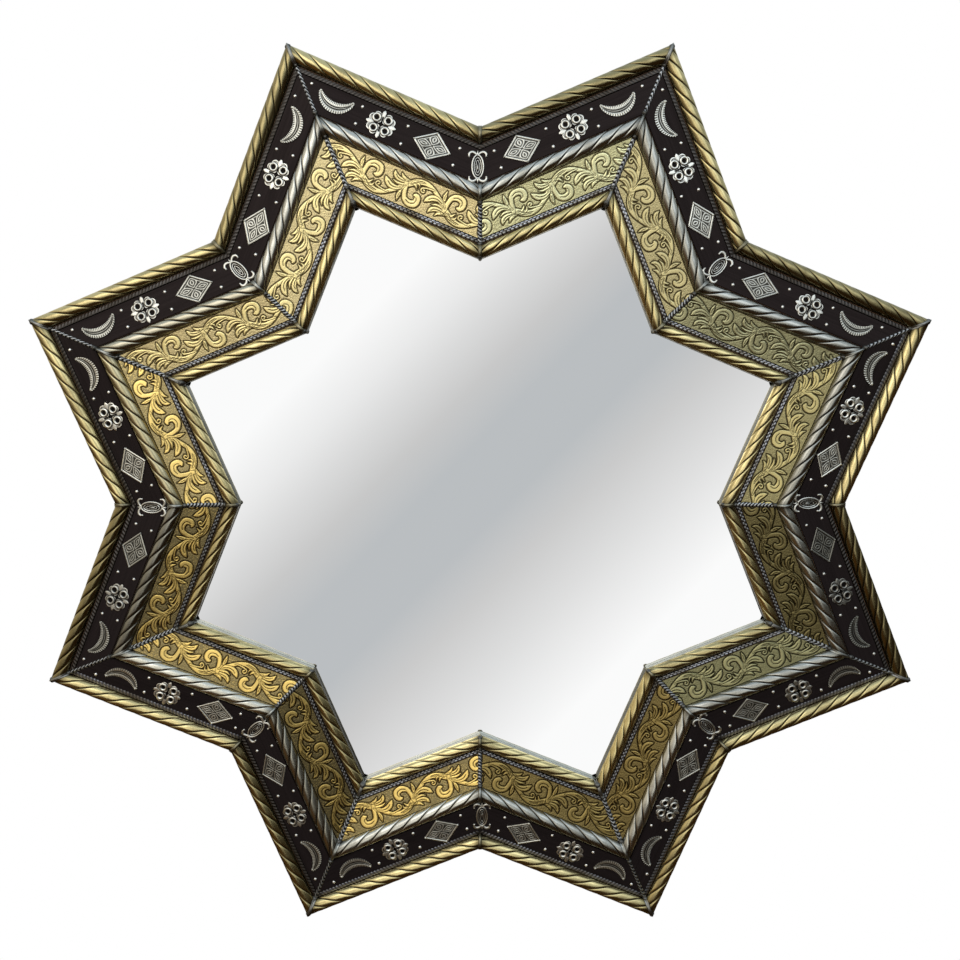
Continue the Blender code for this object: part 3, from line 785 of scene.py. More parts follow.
BAY_LENGTH = 49.2
STEM_REACH = 13.6
STEM_SHIFT = 4.5
STEM_HALF_WIDTH = 2.7
STEM_SWELL = 0.6
STEM_SWELL_SHIFT = 17.0
BAYS = range(-2, 4)
CURVE_SPACING = 0.4

# Where along a side the middle of bay 0 lies, and how much farther on it lies where the pattern is turned
FIRST_BAY = -237.3
TURNED_SHIFT = 52.5

# Each form of a bay: points (along, across) and half widths there, seen with the stem below
VOLUTE = (
    ((-25.0, -8.5), (-23.9, -2.5), (-22.9, 4.0), (-20.6, 10.0), (-14.6, 12.7),
     (-8.4, 11.0), (-7.0, 6.0), (-9.0, 2.4), (-11.6, 2.4)),
    (1.5, 2.4, 2.4, 2.8, 3.6, 3.9, 3.6, 2.4, 1.3),
)
CURL = (
    ((8.5, -10.0), (3.0, -9.8), (-2.5, -9.0), (-6.4, -7.6),
     (-6.6, -4.6), (-4.2, -3.4), (-2.6, -5.2), (-4.0, -6.4)),
    (0.5, 0.7, 0.8, 0.8, 0.8, 0.8, 0.8, 0.9),
)
INNER_LEAF = (
    ((23.0, 0.5), (15.5, -2.4), (8.8, -2.2), (4.2, 0.6), (1.0, 4.4)),
    (0.9, 2.1, 3.1, 2.8, 0.6),
)
MIDDLE_LEAF = (((22.0, 4.0), (15.0, 2.9), (9.6, 4.6)), (0.8, 1.2, 0.3))
OUTER_LEAF = (
    ((29.0, 9.0), (20.5, 7.4), (14.2, 7.9), (10.4, 10.2), (8.6, 13.8)),
    (1.0, 2.0, 2.5, 2.2, 0.5),
)
OUTER_LOBE = (((27.0, 9.6), (20.0, 11.0), (16.6, 14.4)), (0.8, 1.5, 0.3))
BUD = (((-26.8, 1.0), (-28.6, 8.5), (-28.4, 15.2)), (0.4, 2.0, 0.2))
BUD_STALK = (((-24.5, -3.0), (-26.2, 0.0), (-26.9, 2.6)), (0.5, 0.5, 0.5))
SMALL_LEAF = (((-18.0, -9.0), (-14.0, -7.4), (-11.2, -3.6)), (0.8, 1.2, 0.2))
LOW_LEAF = (((-13.0, -11.0), (-10.0, -9.2), (-8.8, -5.8)), (0.8, 0.9, 0.2))
BAY_FORMS = (
    VOLUTE, CURL, INNER_LEAF, MIDDLE_LEAF, OUTER_LEAF, OUTER_LOBE, BUD, BUD_STALK, SMALL_LEAF, LOW_LEAF,
)

# Lines chased into the forms of a bay
BAY_LINES = (
    ((-28.4, 6.2), (-28.6, 8.6), (-28.5, 11.0)),
    ((20.0, -0.4), (14.0, -2.6), (8.6, -2.0), (5.0, 0.6)),
    ((26.0, 8.4), (19.5, 7.4), (14.0, 8.2), (11.2, 10.6)),
    ((-19.0, 10.6), (-14.6, 12.4), (-9.6, 11.0), (-8.0, 7.6), (-9.0, 4.8)),
    ((-24.6, -8.4), (-16.0, -12.4), (-6.0, -14.4)),
    ((30.0, 6.4), (36.0, 11.2), (45.0, 13.4)),
)
LINE_HALF_WIDTH = 0.1

PANEL_COLUMNS = 380
PANEL_ROWS = 84
FORM_SWELL = 0.15
FORM_BLEND = 0.3
RELIEF = 0.6
RELIEF_ROUNDING = 0.3
OUTLINE_PLACE = 0.5
OUTLINE_DEPTH = 0.40
OUTLINE_WIDTH = 0.6
CHASED_WIDTH = 0.42
CHASED_STRENGTH = 0.7
LEAF_EDGE_PLACE = 0.35
LEAF_EDGE_STRENGTH = 0.6

# How far from a curve its distance counts, the limits of a distance, and a closeness for far away
CURVE_REACH = 6.0
GAP_LIMITS = (-8.0, 20.0)
FAR_CLOSENESS = 1e-12


def smooth_curve(points, widths):
    """A curve through points, with widths: cubic pieces whose slopes follow the neighbours' chords."""
    points = np.column_stack([np.asarray(points, float), widths])
    padded = np.vstack([2 * points[0] - points[1], points, 2 * points[-1] - points[-2]])
    before, here, there, after = padded[:-3], padded[1:-2], padded[2:-1], padded[3:]
    chords = np.linalg.norm((there - here)[:, :2], axis=1)
    count = max(3, math.ceil(chords.max() / CURVE_SPACING))
    t = (np.arange(count) / count)[None, :, None]
    parts = (
        2 * here[:, None],
        (there - before)[:, None] * t,
        (2 * before - 5 * here + 4 * there - after)[:, None] * t ** 2,
        (3 * here - before - 3 * there + after)[:, None] * t ** 3,
    )
    return np.vstack([(sum(parts) / 2).reshape(-1, 3), points[-1:]])


def stem_curve():
    """The stem: a cosine wave along the panel, half a wave to each bay, that swells once in each bay."""
    along = np.arange(BAYS.start * BAY_LENGTH, BAYS.stop * BAY_LENGTH, CURVE_SPACING)
    across = -STEM_REACH * np.cos(np.pi * (along + STEM_SHIFT) / BAY_LENGTH)
    swell = STEM_SWELL * np.cos(2.0 * np.pi * (along + STEM_SWELL_SHIFT) / BAY_LENGTH)
    return np.column_stack([along, across, STEM_HALF_WIDTH + swell])


def in_bays(shapes):
    """Curves of one bay, set in every bay of a panel, with every other bay upside down."""
    curves = []
    for bay in BAYS:
        flip = 1.0 if bay % 2 == 0 else -1.0
        shift = np.array([bay * BAY_LENGTH, 0.0, 0.0])
        curves += [shape * np.array([1.0, flip, 1.0]) + shift for shape in shapes]
    return curves


def distance_to(curve, along, across):
    """Distance from each point to the edge of a curve of varying width, negative inside it."""
    best = np.full(along.shape, np.inf)
    curve_along, curve_across, half_width = curve.T
    near = (along > curve_along.min() - CURVE_REACH) & (along < curve_along.max() + CURVE_REACH)
    if not near.any():
        return best
    gaps = np.hypot(along[near][:, None] - curve_along, across[near][:, None] - curve_across)
    best[near] = (gaps - half_width).min(axis=1)
    return best


def scroll_relief(along, across):
    """Height, outline and ground of the scrollwork, from the distance to its forms, which blend together.

    Inside the forms the sheet rises and levels off with the distance from their edge. A narrow bell just
    outside the edge is the outline. Fainter bells follow each leaf where it lies over another form, and the
    chased lines.
    """
    forms = [smooth_curve(*form) for form in BAY_FORMS]
    closeness = np.exp(-np.clip(distance_to(stem_curve(), along, across), *GAP_LIMITS) / FORM_BLEND)
    chased = np.zeros(along.shape)
    for curve in in_bays(forms):
        gap = np.clip(distance_to(curve, along, across), *GAP_LIMITS)
        closeness += np.exp(-gap / FORM_BLEND)
        leaf_edge = bell(gap - LEAF_EDGE_PLACE, CHASED_WIDTH)
        chased = np.maximum(chased * (gap > 0.0), LEAF_EDGE_STRENGTH * leaf_edge)
    edge = -FORM_BLEND * np.log(closeness + FAR_CLOSENESS) - FORM_SWELL
    outline = bell(edge - OUTLINE_PLACE, OUTLINE_WIDTH)
    lines = [smooth_curve(line, [LINE_HALF_WIDTH] * len(line)) for line in BAY_LINES]
    for curve in in_bays(lines):
        gap = np.maximum(distance_to(curve, along, across), 0.0)
        chased = np.maximum(chased, CHASED_STRENGTH * bell(gap, CHASED_WIDTH))
    inside = edge < 0.0
    outline = np.maximum(outline, np.where(inside, chased, 0.0))
    swell = 1.0 - np.exp(np.minimum(edge, 0.0) / RELIEF_ROUNDING)
    height = RELIEF * swell - OUTLINE_DEPTH * outline
    return height, outline, np.where(inside, 0.0, 1.0)


def panel_grid():
    """Along and inset of a panel's points, between its two mitres, with a foot under each long edge."""
    share = np.linspace(0.0, 1.0, PANEL_ROWS + 1)
    share = np.concatenate([share[:1], share, share[-1:]])[None, :]
    inset = PANEL_START + (PANEL_END - GAP - PANEL_START) * share
    first, last = along_limits(inset)
    ahead = np.linspace(0.0, 1.0, PANEL_COLUMNS + 1)[:, None]
    along = first + GAP + (last - first - 2 * GAP) * ahead
    return along, np.broadcast_to(inset, along.shape)


def stamped_relief(turned):
    """Relief of one hand's panels. The pattern runs on round the star, so odd panels have it turned."""
    along, inset = panel_grid()
    run = along / MM - FIRST_BAY
    if turned:
        run = TURNED_SHIFT - run
    return scroll_relief(run, ((PANEL_START + PANEL_END) / 2 - inset) / MM)


def panel_patch(side, relief):
    """One embossed sheet, with its two long edges turned down to the wood."""
    along, inset = panel_grid()
    height, outline, ground = relief
    rise = PANEL_THICKNESS + height * MM
    rise[:, 0] = 0.0
    rise[:, -1] = 0.0
    return Patch(on_side(side, along, *on_slope(INNER_SLOPE, inset, rise)), wear=outline, ground=ground)


def add_panels(finishes):
    reliefs = [stamped_relief(turned) for turned in (False, True)]
    for side, node in enumerate(side_nodes("brass_panel")):
        patch = panel_patch(side, reliefs[side % 2])
        add_piece(f"{node}_scrolls", [patch], finishes[side], [node])


# Filigree on the dark band, drawn in millimetres: x towards the inward corner, y outwards

BAND_MIDDLE = (BAND_START + BAND_END) / 2
BAR_ROWS = np.linspace(0.0, np.pi, 6)


def half_round(path, half_width, crown, closed=False):
    """A half-round bar: at each point of a flat path an arc stands across it, from foot to foot."""
    path = np.asarray(path, float)
    if closed:
        tangent = np.roll(path, -1, axis=0) - np.roll(path, 1, axis=0)
    else:
        tangent = np.gradient(path, axis=0)
    tangent /= np.linalg.norm(tangent, axis=1, keepdims=True)
    across = np.column_stack([-tangent[:, 1], tangent[:, 0]])
    half_width = np.broadcast_to(half_width, len(path))
    crown = np.broadcast_to(crown, len(path))
    flat = path[:, None] + across[:, None] * (half_width[:, None] * np.cos(BAR_ROWS))[..., None]
    height = crown[:, None] * np.sin(BAR_ROWS)
    grid = np.dstack([flat, height])
    return grid, np.broadcast_to(1.0 - np.sin(BAR_ROWS), height.shape), closed


DROP_POINTS = 9
DROP_TAPER = 0.6
DROP_THINNEST = 0.03


def drop(x, y, direction, length, half_width, crown):
    """A teardrop: a bar whose width swells quickly from its point of origin and tapers to its end."""
    share = np.linspace(0.0, 1.0, DROP_POINTS)
    angle = math.radians(direction)
    path = np.array([x, y]) + length * share[:, None] * np.array([math.cos(angle), math.sin(angle)])
    swell = np.sin(np.pi * share ** DROP_TAPER) * (1.0 - DROP_THINNEST) + DROP_THINNEST
    return half_round(path, half_width * swell, crown * np.sqrt(swell))


DOME_AROUND = 10
DOME_ROWS = 4


def dome(x, y, radius, crown):
    """A round pin head: a quarter ellipse turned about its own axis, closed below."""
    angle = 2.0 * np.pi * np.arange(DOME_AROUND) / DOME_AROUND
    profile = np.linspace(0.0, np.pi / 2, DOME_ROWS)
    reach = np.concatenate([[0.0], radius * np.cos(profile)])
    height = np.concatenate([[0.0], crown * np.sin(profile)])
    grid = np.stack([
        x + reach[None, :] * np.cos(angle)[:, None],
        y + reach[None, :] * np.sin(angle)[:, None],
        np.broadcast_to(height, (DOME_AROUND, len(height))),
    ], axis=-1)
    return grid, np.zeros(grid.shape[:2]), None


def as_patch(shape, place, darkening=0.0):
    """A drawn shape put in its place: closed is True for a ring, False for a bar and None for a dome."""
    grid, wear, closed = shape
    points = place(grid[..., 0] * MM, grid[..., 1] * MM, grid[..., 2] * MM)
    return Patch(points, wear=wear, darkening=darkening, ring=closed is not False, tube=closed is not None)


ORNAMENT_SHIFT = 0.0035
CARTOUCHE_SHIFT = 0.0025


def band_place(side, from_tip, turn=0.0):
    """Puts a drawing on the dark band of a side, at a distance from the tip, turned a little.

    All drawings lie anticlockwise of their even places, because one pattern was used for both hands.
    """
    origin = from_tip - APOTHEM + (ORNAMENT_SHIFT if side % 2 else -ORNAMENT_SHIFT)

    def place(x, y, rise):
        along = origin + x * math.cos(turn) - y * math.sin(turn)
        inset = BAND_MIDDLE - x * math.sin(turn) - y * math.cos(turn)
        return on_side(side, along, *on_slope(OUTER_SLOPE, inset, BAND_THICKNESS + GAP + rise))

    return place


def corner_place(corner):
    """Puts a drawing on the two bands that meet at an inward corner, a little to one side."""
    def place(x, y, rise):
        beside = x + CARTOUCHE_SHIFT
        middle = BAND_MIDDLE - y * math.cos(CORNER_SPREAD) + np.abs(beside) * math.sin(CORNER_SPREAD)
        return on_corner(corner, beside, *on_slope(OUTER_SLOPE, middle, BAND_THICKNESS + GAP + rise))

    return place


CRESCENT_FROM_TIP = 0.0755
ROSETTE_FROM_TIP = 0.1305
LOZENGE_FROM_TIP = 0.1910

# The drawings were set by hand: how far they are turned at most, and how that goes from one to the next
HAND_TURN = math.radians(3.0)
HAND_SIDE_STEP = 2.4
HAND_DRAWING_STEP = 1.7

# Pins of a side: millimetres from its tip, and outwards from the middle of the band
PIN_PLACES = (
    (44.5, 11.5), (104.8, 10.0), (104.8, -10.0), (158.6, 10.0), (158.6, -11.0),
    (220.0, 10.0), (220.0, -10.0),
)
PIN_RADIUS = 1.9
PIN_CROWN = 1.2
PIN_SHADE_SHARE = 0.5

# Half chord, sag and height of the horns of a crescent's two arcs, with its horns outwards
CRESCENT_INNER = (18.6, 7.9, 10.2)
CRESCENT_OUTER = (20.5, 18.0, 8.5)
CRESCENT_COLUMNS = 121
CRESCENT_ROWS = 15
CRESCENT_THICKNESS = 1.0
CRESCENT_CROWN = 0.35
CRESCENT_WEAR = 0.18
CRESCENT_BORDERS = (0.24, 0.74)
BORDER_SLOPE = 0.06
BORDER_RISE = 0.4
CRESCENT_NOTCHES = 11
NOTCH_CUT = 0.45
NOTCH_BRIGHT = 0.45
NOTCH_WEAR = 1.2
CRESCENT_LINES = (0.40, 0.60)
CRESCENT_LINE_WIDTH = 0.06
CRESCENT_LINE_CUT = 0.45
CRESCENT_LINE_FADE = 0.25
HORN_PIN = (18.4, 8.2)
HORN_PIN_SIZE = (1.4, 2.2)


def hanging_arc(share, half_chord, sag, horn):
    """A round arc that hangs between two horns: share runs from -1 at one of them to 1 at the other."""
    radius = (half_chord ** 2 + sag ** 2) / (2.0 * sag)
    angle = share * math.asin(half_chord / radius)
    return radius * np.sin(angle), horn - sag + radius * (1.0 - np.cos(angle))


def crescent():
    """A crescent between two arcs, with notched borders, engraved lines and a pin in each horn.

    The first parameter runs from horn to horn and the second from the inner arc to the outer one.
    """
    share = np.linspace(-1.0, 1.0, CRESCENT_COLUMNS)[:, None]
    across = np.concatenate([[0.0], np.linspace(0.0, 1.0, CRESCENT_ROWS), [1.0]])[None, :]
    inner_x, inner_y = hanging_arc(share, *CRESCENT_INNER)
    outer_x, outer_y = hanging_arc(share, *CRESCENT_OUTER)
    x = inner_x + (outer_x - inner_x) * across
    y = inner_y + (outer_y - inner_y) * across
    inner_end, outer_start = CRESCENT_BORDERS
    border = smooth_step((inner_end - across) / BORDER_SLOPE)
    border = np.maximum(border, smooth_step((across - outer_start) / BORDER_SLOPE))
    notch = 0.5 + 0.5 * np.cos(2.0 * np.pi * CRESCENT_NOTCHES * share)
    line = sum(bell(across - place, CRESCENT_LINE_WIDTH) for place in CRESCENT_LINES)
    line = line * smooth_step((1.0 - np.abs(share)) / CRESCENT_LINE_FADE)
    height = CRESCENT_THICKNESS + CRESCENT_CROWN * np.sin(np.pi * across)
    height = height + border * (BORDER_RISE - NOTCH_CUT * notch) - CRESCENT_LINE_CUT * line
    height[:, 0] = 0.0
    height[:, -1] = 0.0
    wear = np.clip(CRESCENT_WEAR + line + border * (notch - NOTCH_BRIGHT) * NOTCH_WEAR, 0.0, 1.0)
    plate = np.dstack([x, y, height]), wear, False
    pin_x, pin_y = HORN_PIN
    return [plate, *(dome(side * pin_x, pin_y, *HORN_PIN_SIZE) for side in (-1.0, 1.0))]


# Discs, as (x, y, radius), that make up a quarter of a rosette's outline: a ring, its lobes and two fleurons
ROSETTE_DISCS = (
    (6.7, 6.0, 5.2), (6.2, 9.0, 3.8), (10.7, 5.2, 4.1), (13.9, 0.0, 2.2),
    (15.9, 0.0, 1.1), (0.0, 12.5, 2.2), (0.0, 14.3, 1.1), (0.0, 0.0, 8.0),
)
ROSETTE_AROUND = 144
ROSETTE_ROWS = 30
ROSETTE_THICKNESS = 0.9
ROSETTE_SWELL = 0.25
ROSETTE_SWELL_END = 2.0
ROSETTE_WEAR = 0.12
ROSETTE_HOLE = (6.7, 6.0, 2.8)
HOLE_SLOPE = 0.5
ROSETTE_CENTRE = 3.2
CENTRE_SLOPE = 0.6
PIERCED_SHARE = 0.9
RING_PLACE = 3.8
RING_WIDTH = 0.9
RING_RISE = 0.6

# Lines cut into a rosette: where they run, how wide they are, and where they fade out
ROSETTE_CUT = 0.35
ROSETTE_CUT_WEAR = 0.85
CUT_FADE = 0.8
GROOVE_PLACE = 5.4
GROOVE_WIDTH = 0.45
GROOVE_FROM_EDGE = 0.5
CONTOUR_PLACE = 1.7
CONTOUR_WIDTH = 0.4
CONTOUR_FROM_HOLE = 5.0
CONTOUR_FROM_AXIS = 1.2
SEAM_WIDTH = 0.55
SEAM_END = 9.0


def rosette_outline(angle):
    """How far a ray from the middle goes before it leaves the last disc of the outline."""
    across, up = np.abs(np.cos(angle)), np.abs(np.sin(angle))
    exits = []
    for x, y, radius in ROSETTE_DISCS:
        ahead = x * across + y * up
        room = radius ** 2 - (x ** 2 + y ** 2 - ahead ** 2)
        exits.append(np.where(room > 0.0, ahead + np.sqrt(np.maximum(room, 0.0)), 0.0))
    return np.max(exits, axis=0)


def rosette():
    """A pierced plate of four rings with scalloped lobes and a fleuron on each axis.

    The first parameter goes round, and the second from the middle of the underside over the edge to the
    middle of the top. The rings are bells of the distance to the nearest hole. A groove runs round each
    ring, another follows the outline, and a seam runs along each axis.
    """
    angle = 2.0 * np.pi * np.arange(ROSETTE_AROUND)[:, None] / ROSETTE_AROUND
    share = np.concatenate([[0.0, 1.0], np.linspace(1.0, 0.0, ROSETTE_ROWS)])[None, :]
    reach = rosette_outline(angle)
    x, y = share * reach * np.cos(angle), share * reach * np.sin(angle)
    hole_x, hole_y, hole = ROSETTE_HOLE
    from_hole = np.hypot(np.abs(x) - hole_x, np.abs(y) - hole_y)
    pierced = smooth_step((hole - from_hole) / HOLE_SLOPE)
    pierced = np.maximum(pierced, smooth_step((ROSETTE_CENTRE - np.abs(x) - np.abs(y)) / CENTRE_SLOPE))
    from_edge = (1.0 - share) * reach
    from_axis = np.minimum(np.abs(x), np.abs(y))
    ring = bell(from_hole - RING_PLACE, RING_WIDTH)
    groove = bell(from_hole - GROOVE_PLACE, GROOVE_WIDTH)
    groove = groove * smooth_step((from_edge - GROOVE_FROM_EDGE) / CUT_FADE)
    contour = bell(from_edge - CONTOUR_PLACE, CONTOUR_WIDTH)
    contour = contour * smooth_step((from_hole - CONTOUR_FROM_HOLE) / CUT_FADE)
    contour = contour * smooth_step(from_axis - CONTOUR_FROM_AXIS)
    seam = smooth_step((2.0 * SEAM_WIDTH - from_axis) / SEAM_WIDTH)
    seam = seam * smooth_step(SEAM_END - np.maximum(np.abs(x), np.abs(y)))
    cut = np.maximum(np.maximum(groove, contour), seam)
    swell = ROSETTE_SWELL * np.sqrt(np.clip(from_edge, 0.0, ROSETTE_SWELL_END))
    full = ROSETTE_THICKNESS + RING_RISE * ring + swell
    height = full * (1.0 - PIERCED_SHARE * pierced) - ROSETTE_CUT * cut
    height[:, :2] = 0.0
    wear = np.maximum(pierced, ROSETTE_CUT_WEAR * cut) + ROSETTE_WEAR * (1.0 - ring)
    return [(np.dstack([x, y, height]), np.clip(wear, 0.0, 1.0), None)]


LOZENGE_REACH = (22.5, 16.4)
LOZENGE_POINTS = 61
LOZENGE_THICKNESS = 0.8
LOZENGE_FIELD = 0.80
LOZENGE_FIELD_WEAR = 0.80
LOZENGE_DRAWN_RISE = 0.35
LOZENGE_DRAWN_WEAR = 0.85
LOZENGE_RIM = 0.15
RIM_SLOPE = 0.04
RIM_RISE = 0.7
RIM_EDGE = 0.06
RIM_EDGE_FALL = 0.4
FILLET_PLACE = 0.74
FILLET_WIDTH = 0.025
FILLET_STRENGTH = 0.8
LOZENGE_PINS = (0.93, 0.91)
LOZENGE_PIN_SIZE = (1.5, 2.2)
PETAL_START = 0.06
PETAL_LENGTH = 0.68
PETAL_SKEW = 1.2
PETAL_HALF_WIDTH = 0.23
PETAL_LINE = 0.030
PETAL_INLINE = 0.15


def petal_lines(ahead, beside):
    """A long petal in double outline: its half width follows a sine along its length."""
    share = np.clip((ahead - PETAL_START) / PETAL_LENGTH, 0.0, 1.0)
    edge = np.abs(beside) - PETAL_HALF_WIDTH * np.sin(np.pi * share ** PETAL_SKEW)
    on_petal = (ahead > PETAL_START) & (ahead < PETAL_START + PETAL_LENGTH)
    lines = np.maximum(bell(edge, PETAL_LINE), bell(edge + PETAL_INLINE, PETAL_LINE))
    return np.where(on_petal, lines, 0.0)


def lozenge():
    """A rhombic plate with a raised rim and a petal in double outline towards each corner.

    Two parameters run along its edges, from -1 to 1.
    """
    line = np.linspace(-1.0, 1.0, LOZENGE_POINTS)
    a = line[:, None]
    b = np.concatenate([[-1.0], line, [1.0]])[None, :]
    a, b = np.broadcast_arrays(a, b)
    across, up = (a + b) / 2, (a - b) / 2
    from_middle = np.maximum(np.abs(a), np.abs(b))
    rim = smooth_step((from_middle - 1.0 + LOZENGE_RIM) / RIM_SLOPE)
    rounding = RIM_EDGE_FALL * smooth_step((from_middle - 1.0 + RIM_EDGE) / RIM_EDGE)
    petals = np.maximum(petal_lines(np.abs(across), up), petal_lines(np.abs(up), across))
    fillet = FILLET_STRENGTH * bell(from_middle - FILLET_PLACE, FILLET_WIDTH)
    drawn = np.maximum(petals, fillet) * (from_middle < LOZENGE_FIELD)
    height = LOZENGE_THICKNESS + RIM_RISE * rim * (1.0 - rounding) + LOZENGE_DRAWN_RISE * drawn
    height[:, 0] = 0.0
    height[:, -1] = 0.0
    wear = np.clip(LOZENGE_FIELD_WEAR - rim - LOZENGE_DRAWN_WEAR * drawn, 0.0, 1.0)
    half_length, half_width = LOZENGE_REACH
    plate = np.dstack([half_length * across, half_width * up, height]), wear, False
    pin_x, pin_y = half_length * LOZENGE_PINS[0], half_width * LOZENGE_PINS[1]
    corners = ((-pin_x, 0.0), (pin_x, 0.0), (0.0, -pin_y), (0.0, pin_y))
    return [plate, *(dome(x, y, *LOZENGE_PIN_SIZE) for x, y in corners)]


ALMOND_POINTS = 22


def almond(half_width, half_length):
    """A closed pointed oval: its width follows the sine along its length, on both sides."""
    share = np.linspace(0.0, 1.0, ALMOND_POINTS)
    right = np.column_stack([half_width * np.sin(np.pi * share), half_length * np.cos(np.pi * share)])
    return np.vstack([right, right[-2:0:-1] * np.array([-1.0, 1.0])])


SCROLL_END = (
    ((0.8, 12.6), (3.2, 15.2), (6.6, 16.0), (9.2, 14.2), (9.4, 11.6)),
    (1.2, 1.7, 1.9, 1.7, 1.2),
)
SCROLL_THINNING = 3
SCROLL_KNOB = (9.4, 11.4)
SCROLL_KNOB_SIZE = (1.4, 1.7)

# Half width, half length and half thickness of each almond ring
ALMONDS = ((6.2, 12.6, 1.15), (3.9, 9.6, 0.7), (1.9, 6.6, 0.6))
CARTOUCHE_CROWN = 1.5

# Drops in a cartouche's middle and fans: directions in degrees, feet, and length, half width and crown
UPWARDS = 90.0
HEART_FOOT = -3.8
HEART_DROP = (7.6, 0.8, 1.1)
FAN_FOOT = 12.4
FAN_SPREAD = 34.0
FAN_MIDDLE_DROP = (6.0, 1.3, 1.4)
FAN_SIDE_DROP = (5.0, 1.0, 1.2)


def cartouche():
    """Three pointed ovals inside one another, with a pair of scrolls and a small fan at each end."""
    shapes = []
    for wide, tall, bar in ALMONDS:
        shapes.append(half_round(almond(wide, tall), bar, CARTOUCHE_CROWN, closed=True))
    shapes.append(drop(0.0, HEART_FOOT, UPWARDS, *HEART_DROP))
    scroll = smooth_curve(*SCROLL_END)[::SCROLL_THINNING]
    knob_x, knob_y = SCROLL_KNOB
    for end in (-1.0, 1.0):
        for side in (-1.0, 1.0):
            path = scroll[:, :2] * np.array([side, end])
            shapes.append(half_round(path, scroll[:, 2], CARTOUCHE_CROWN))
            shapes.append(dome(side * knob_x, end * knob_y, *SCROLL_KNOB_SIZE))
        foot, ahead = end * FAN_FOOT, end * UPWARDS
        shapes.append(drop(0.0, foot, ahead, *FAN_MIDDLE_DROP))
        shapes += [drop(0.0, foot, ahead + turn, *FAN_SIDE_DROP) for turn in (-FAN_SPREAD, FAN_SPREAD)]
    return shapes


def add_filigree(finish, plate_finish, pin_finish):
    """The same ornaments on every band, set by hand and so not quite straight, cartouches and pins."""
    drawings = (
        ("crescents", crescent(), CRESCENT_FROM_TIP, plate_finish),
        ("rosettes", rosette(), ROSETTE_FROM_TIP, finish),
        ("lozenges", lozenge(), LOZENGE_FROM_TIP, plate_finish),
    )
    for order, (name, shapes, from_tip, metal_finish) in enumerate(drawings):
        turns = HAND_TURN * np.sin(HAND_SIDE_STEP * np.arange(SIDES) + HAND_DRAWING_STEP * order)
        patches = []
        for side, turn in enumerate(turns):
            place = band_place(side, from_tip, turn)
            # Each side's ornaments take its band's painted shade
            patches += [as_patch(shape, place, BAND_PAINTED_SHADE.get(side, 0.0)) for shape in shapes]
        add_piece(name, patches, metal_finish)
    places = [corner_place(corner) for corner in range(1, SIDES, 2)]
    patches = [as_patch(shape, place, CARTOUCHE_AGE) for place in places for shape in cartouche()]
    add_piece("cartouches", patches, finish)
    pins = [dome(0.0, y, PIN_RADIUS, PIN_CROWN) for _, y in PIN_PLACES]
    heads = []
    for side in range(SIDES):
        # The pins take a share of their band's painted shade
        darkening = PIN_SHADE_SHARE * BAND_PAINTED_SHADE.get(side, 0.0)
        heads += [as_patch(pin, band_place(side, x * MM), darkening) for pin, (x, _) in zip(pins, PIN_PLACES)]
    add_piece("band_pins", heads, pin_finish)


# Hangers, glue and screws at the back

RING_WIRE = 0.0015
RING_HALF_WIDTH = 0.012
RING_SIDE = 0.009
RING_CORNER = 0.003
RING_BEND_POINTS = 8
RING_BOW_POINTS = 33
WIRE_SIDES = 14


def arc(x, y, radius, start, end, count):
    """Points of an arc about a middle, from one angle to another, in degrees."""
    angle = np.radians(np.linspace(start, end, count))
    return np.column_stack([x + radius * np.cos(angle), y + radius * np.sin(angle)])


def ring_path():
    """Centre line of a hanger ring below its pivot: a bar, two small bends and a round bow."""
    centre = RING_HALF_WIDTH - RING_CORNER
    bends = (
        arc(centre, -RING_CORNER, RING_CORNER, 90.0, 0.0, RING_BEND_POINTS),
        arc(0.0, -RING_SIDE, RING_HALF_WIDTH, 0.0, -180.0, RING_BOW_POINTS),
        arc(-centre, -RING_CORNER, RING_CORNER, 180.0, 90.0, RING_BEND_POINTS),
    )
    return np.vstack(bends)


def add_hanger_rings(finish):
    """Each ring is a circle carried round the closed path, in the plane of the wall."""
    path = ring_path()
    tangent = np.roll(path, -1, axis=0) - np.roll(path, 1, axis=0)
    tangent /= np.linalg.norm(tangent, axis=1, keepdims=True)
    across = np.column_stack([-tangent[:, 1], tangent[:, 0]])
    angle = 2.0 * np.pi * np.arange(WIRE_SIDES) / WIRE_SIDES
    flat = path[:, None] + RING_WIRE * across[:, None] * np.cos(angle)[None, :, None]
    deep = np.broadcast_to(RING_WIRE * np.sin(angle), flat.shape[:2])
    for joint in frame["joints"]:
        pivot = np.array(joint["pos_m"])
        node = joint["child"].replace("ring_", "hanger_ring_")
        points = pivot + np.dstack([flat[..., 0], deep, flat[..., 1]])
        ring = Patch(points, ring=True)
        add_piece(f"{node}_wire", [ring], finish, stands_for=[node], body=joint["child"])


GLUE_RECESS = 0.0002
GLUE_DEPTH = 0.0020
GLUE_TONES = ((0.085, 0.045, 0.022), (0.040, 0.020, 0.010))


def glue_line(corner):
    """The glue between two rails: a flat bar in their gap, from the outer edge to the edge of the glass."""
    sideways = GAP / 2 * np.array([-1.0, 1.0, 1.0, -1.0])[None, :]
    height = RAIL_BACK + GLUE_RECESS + GLUE_DEPTH * np.array([0.0, 0.0, 1.0, 1.0])[None, :]
    inset = np.array([RAIL_START, GLASS_START])[:, None]
    return Patch(on_corner(corner, sideways, inset, height))


def add_glue():
    glue = grained_wood("hide_glue", GLUE_TONES, roughness=0.45, turn=0.0, pores=0.3)
    add_piece("mitre_glue", [glue_line(corner) for corner in range(SIDES)], glue)


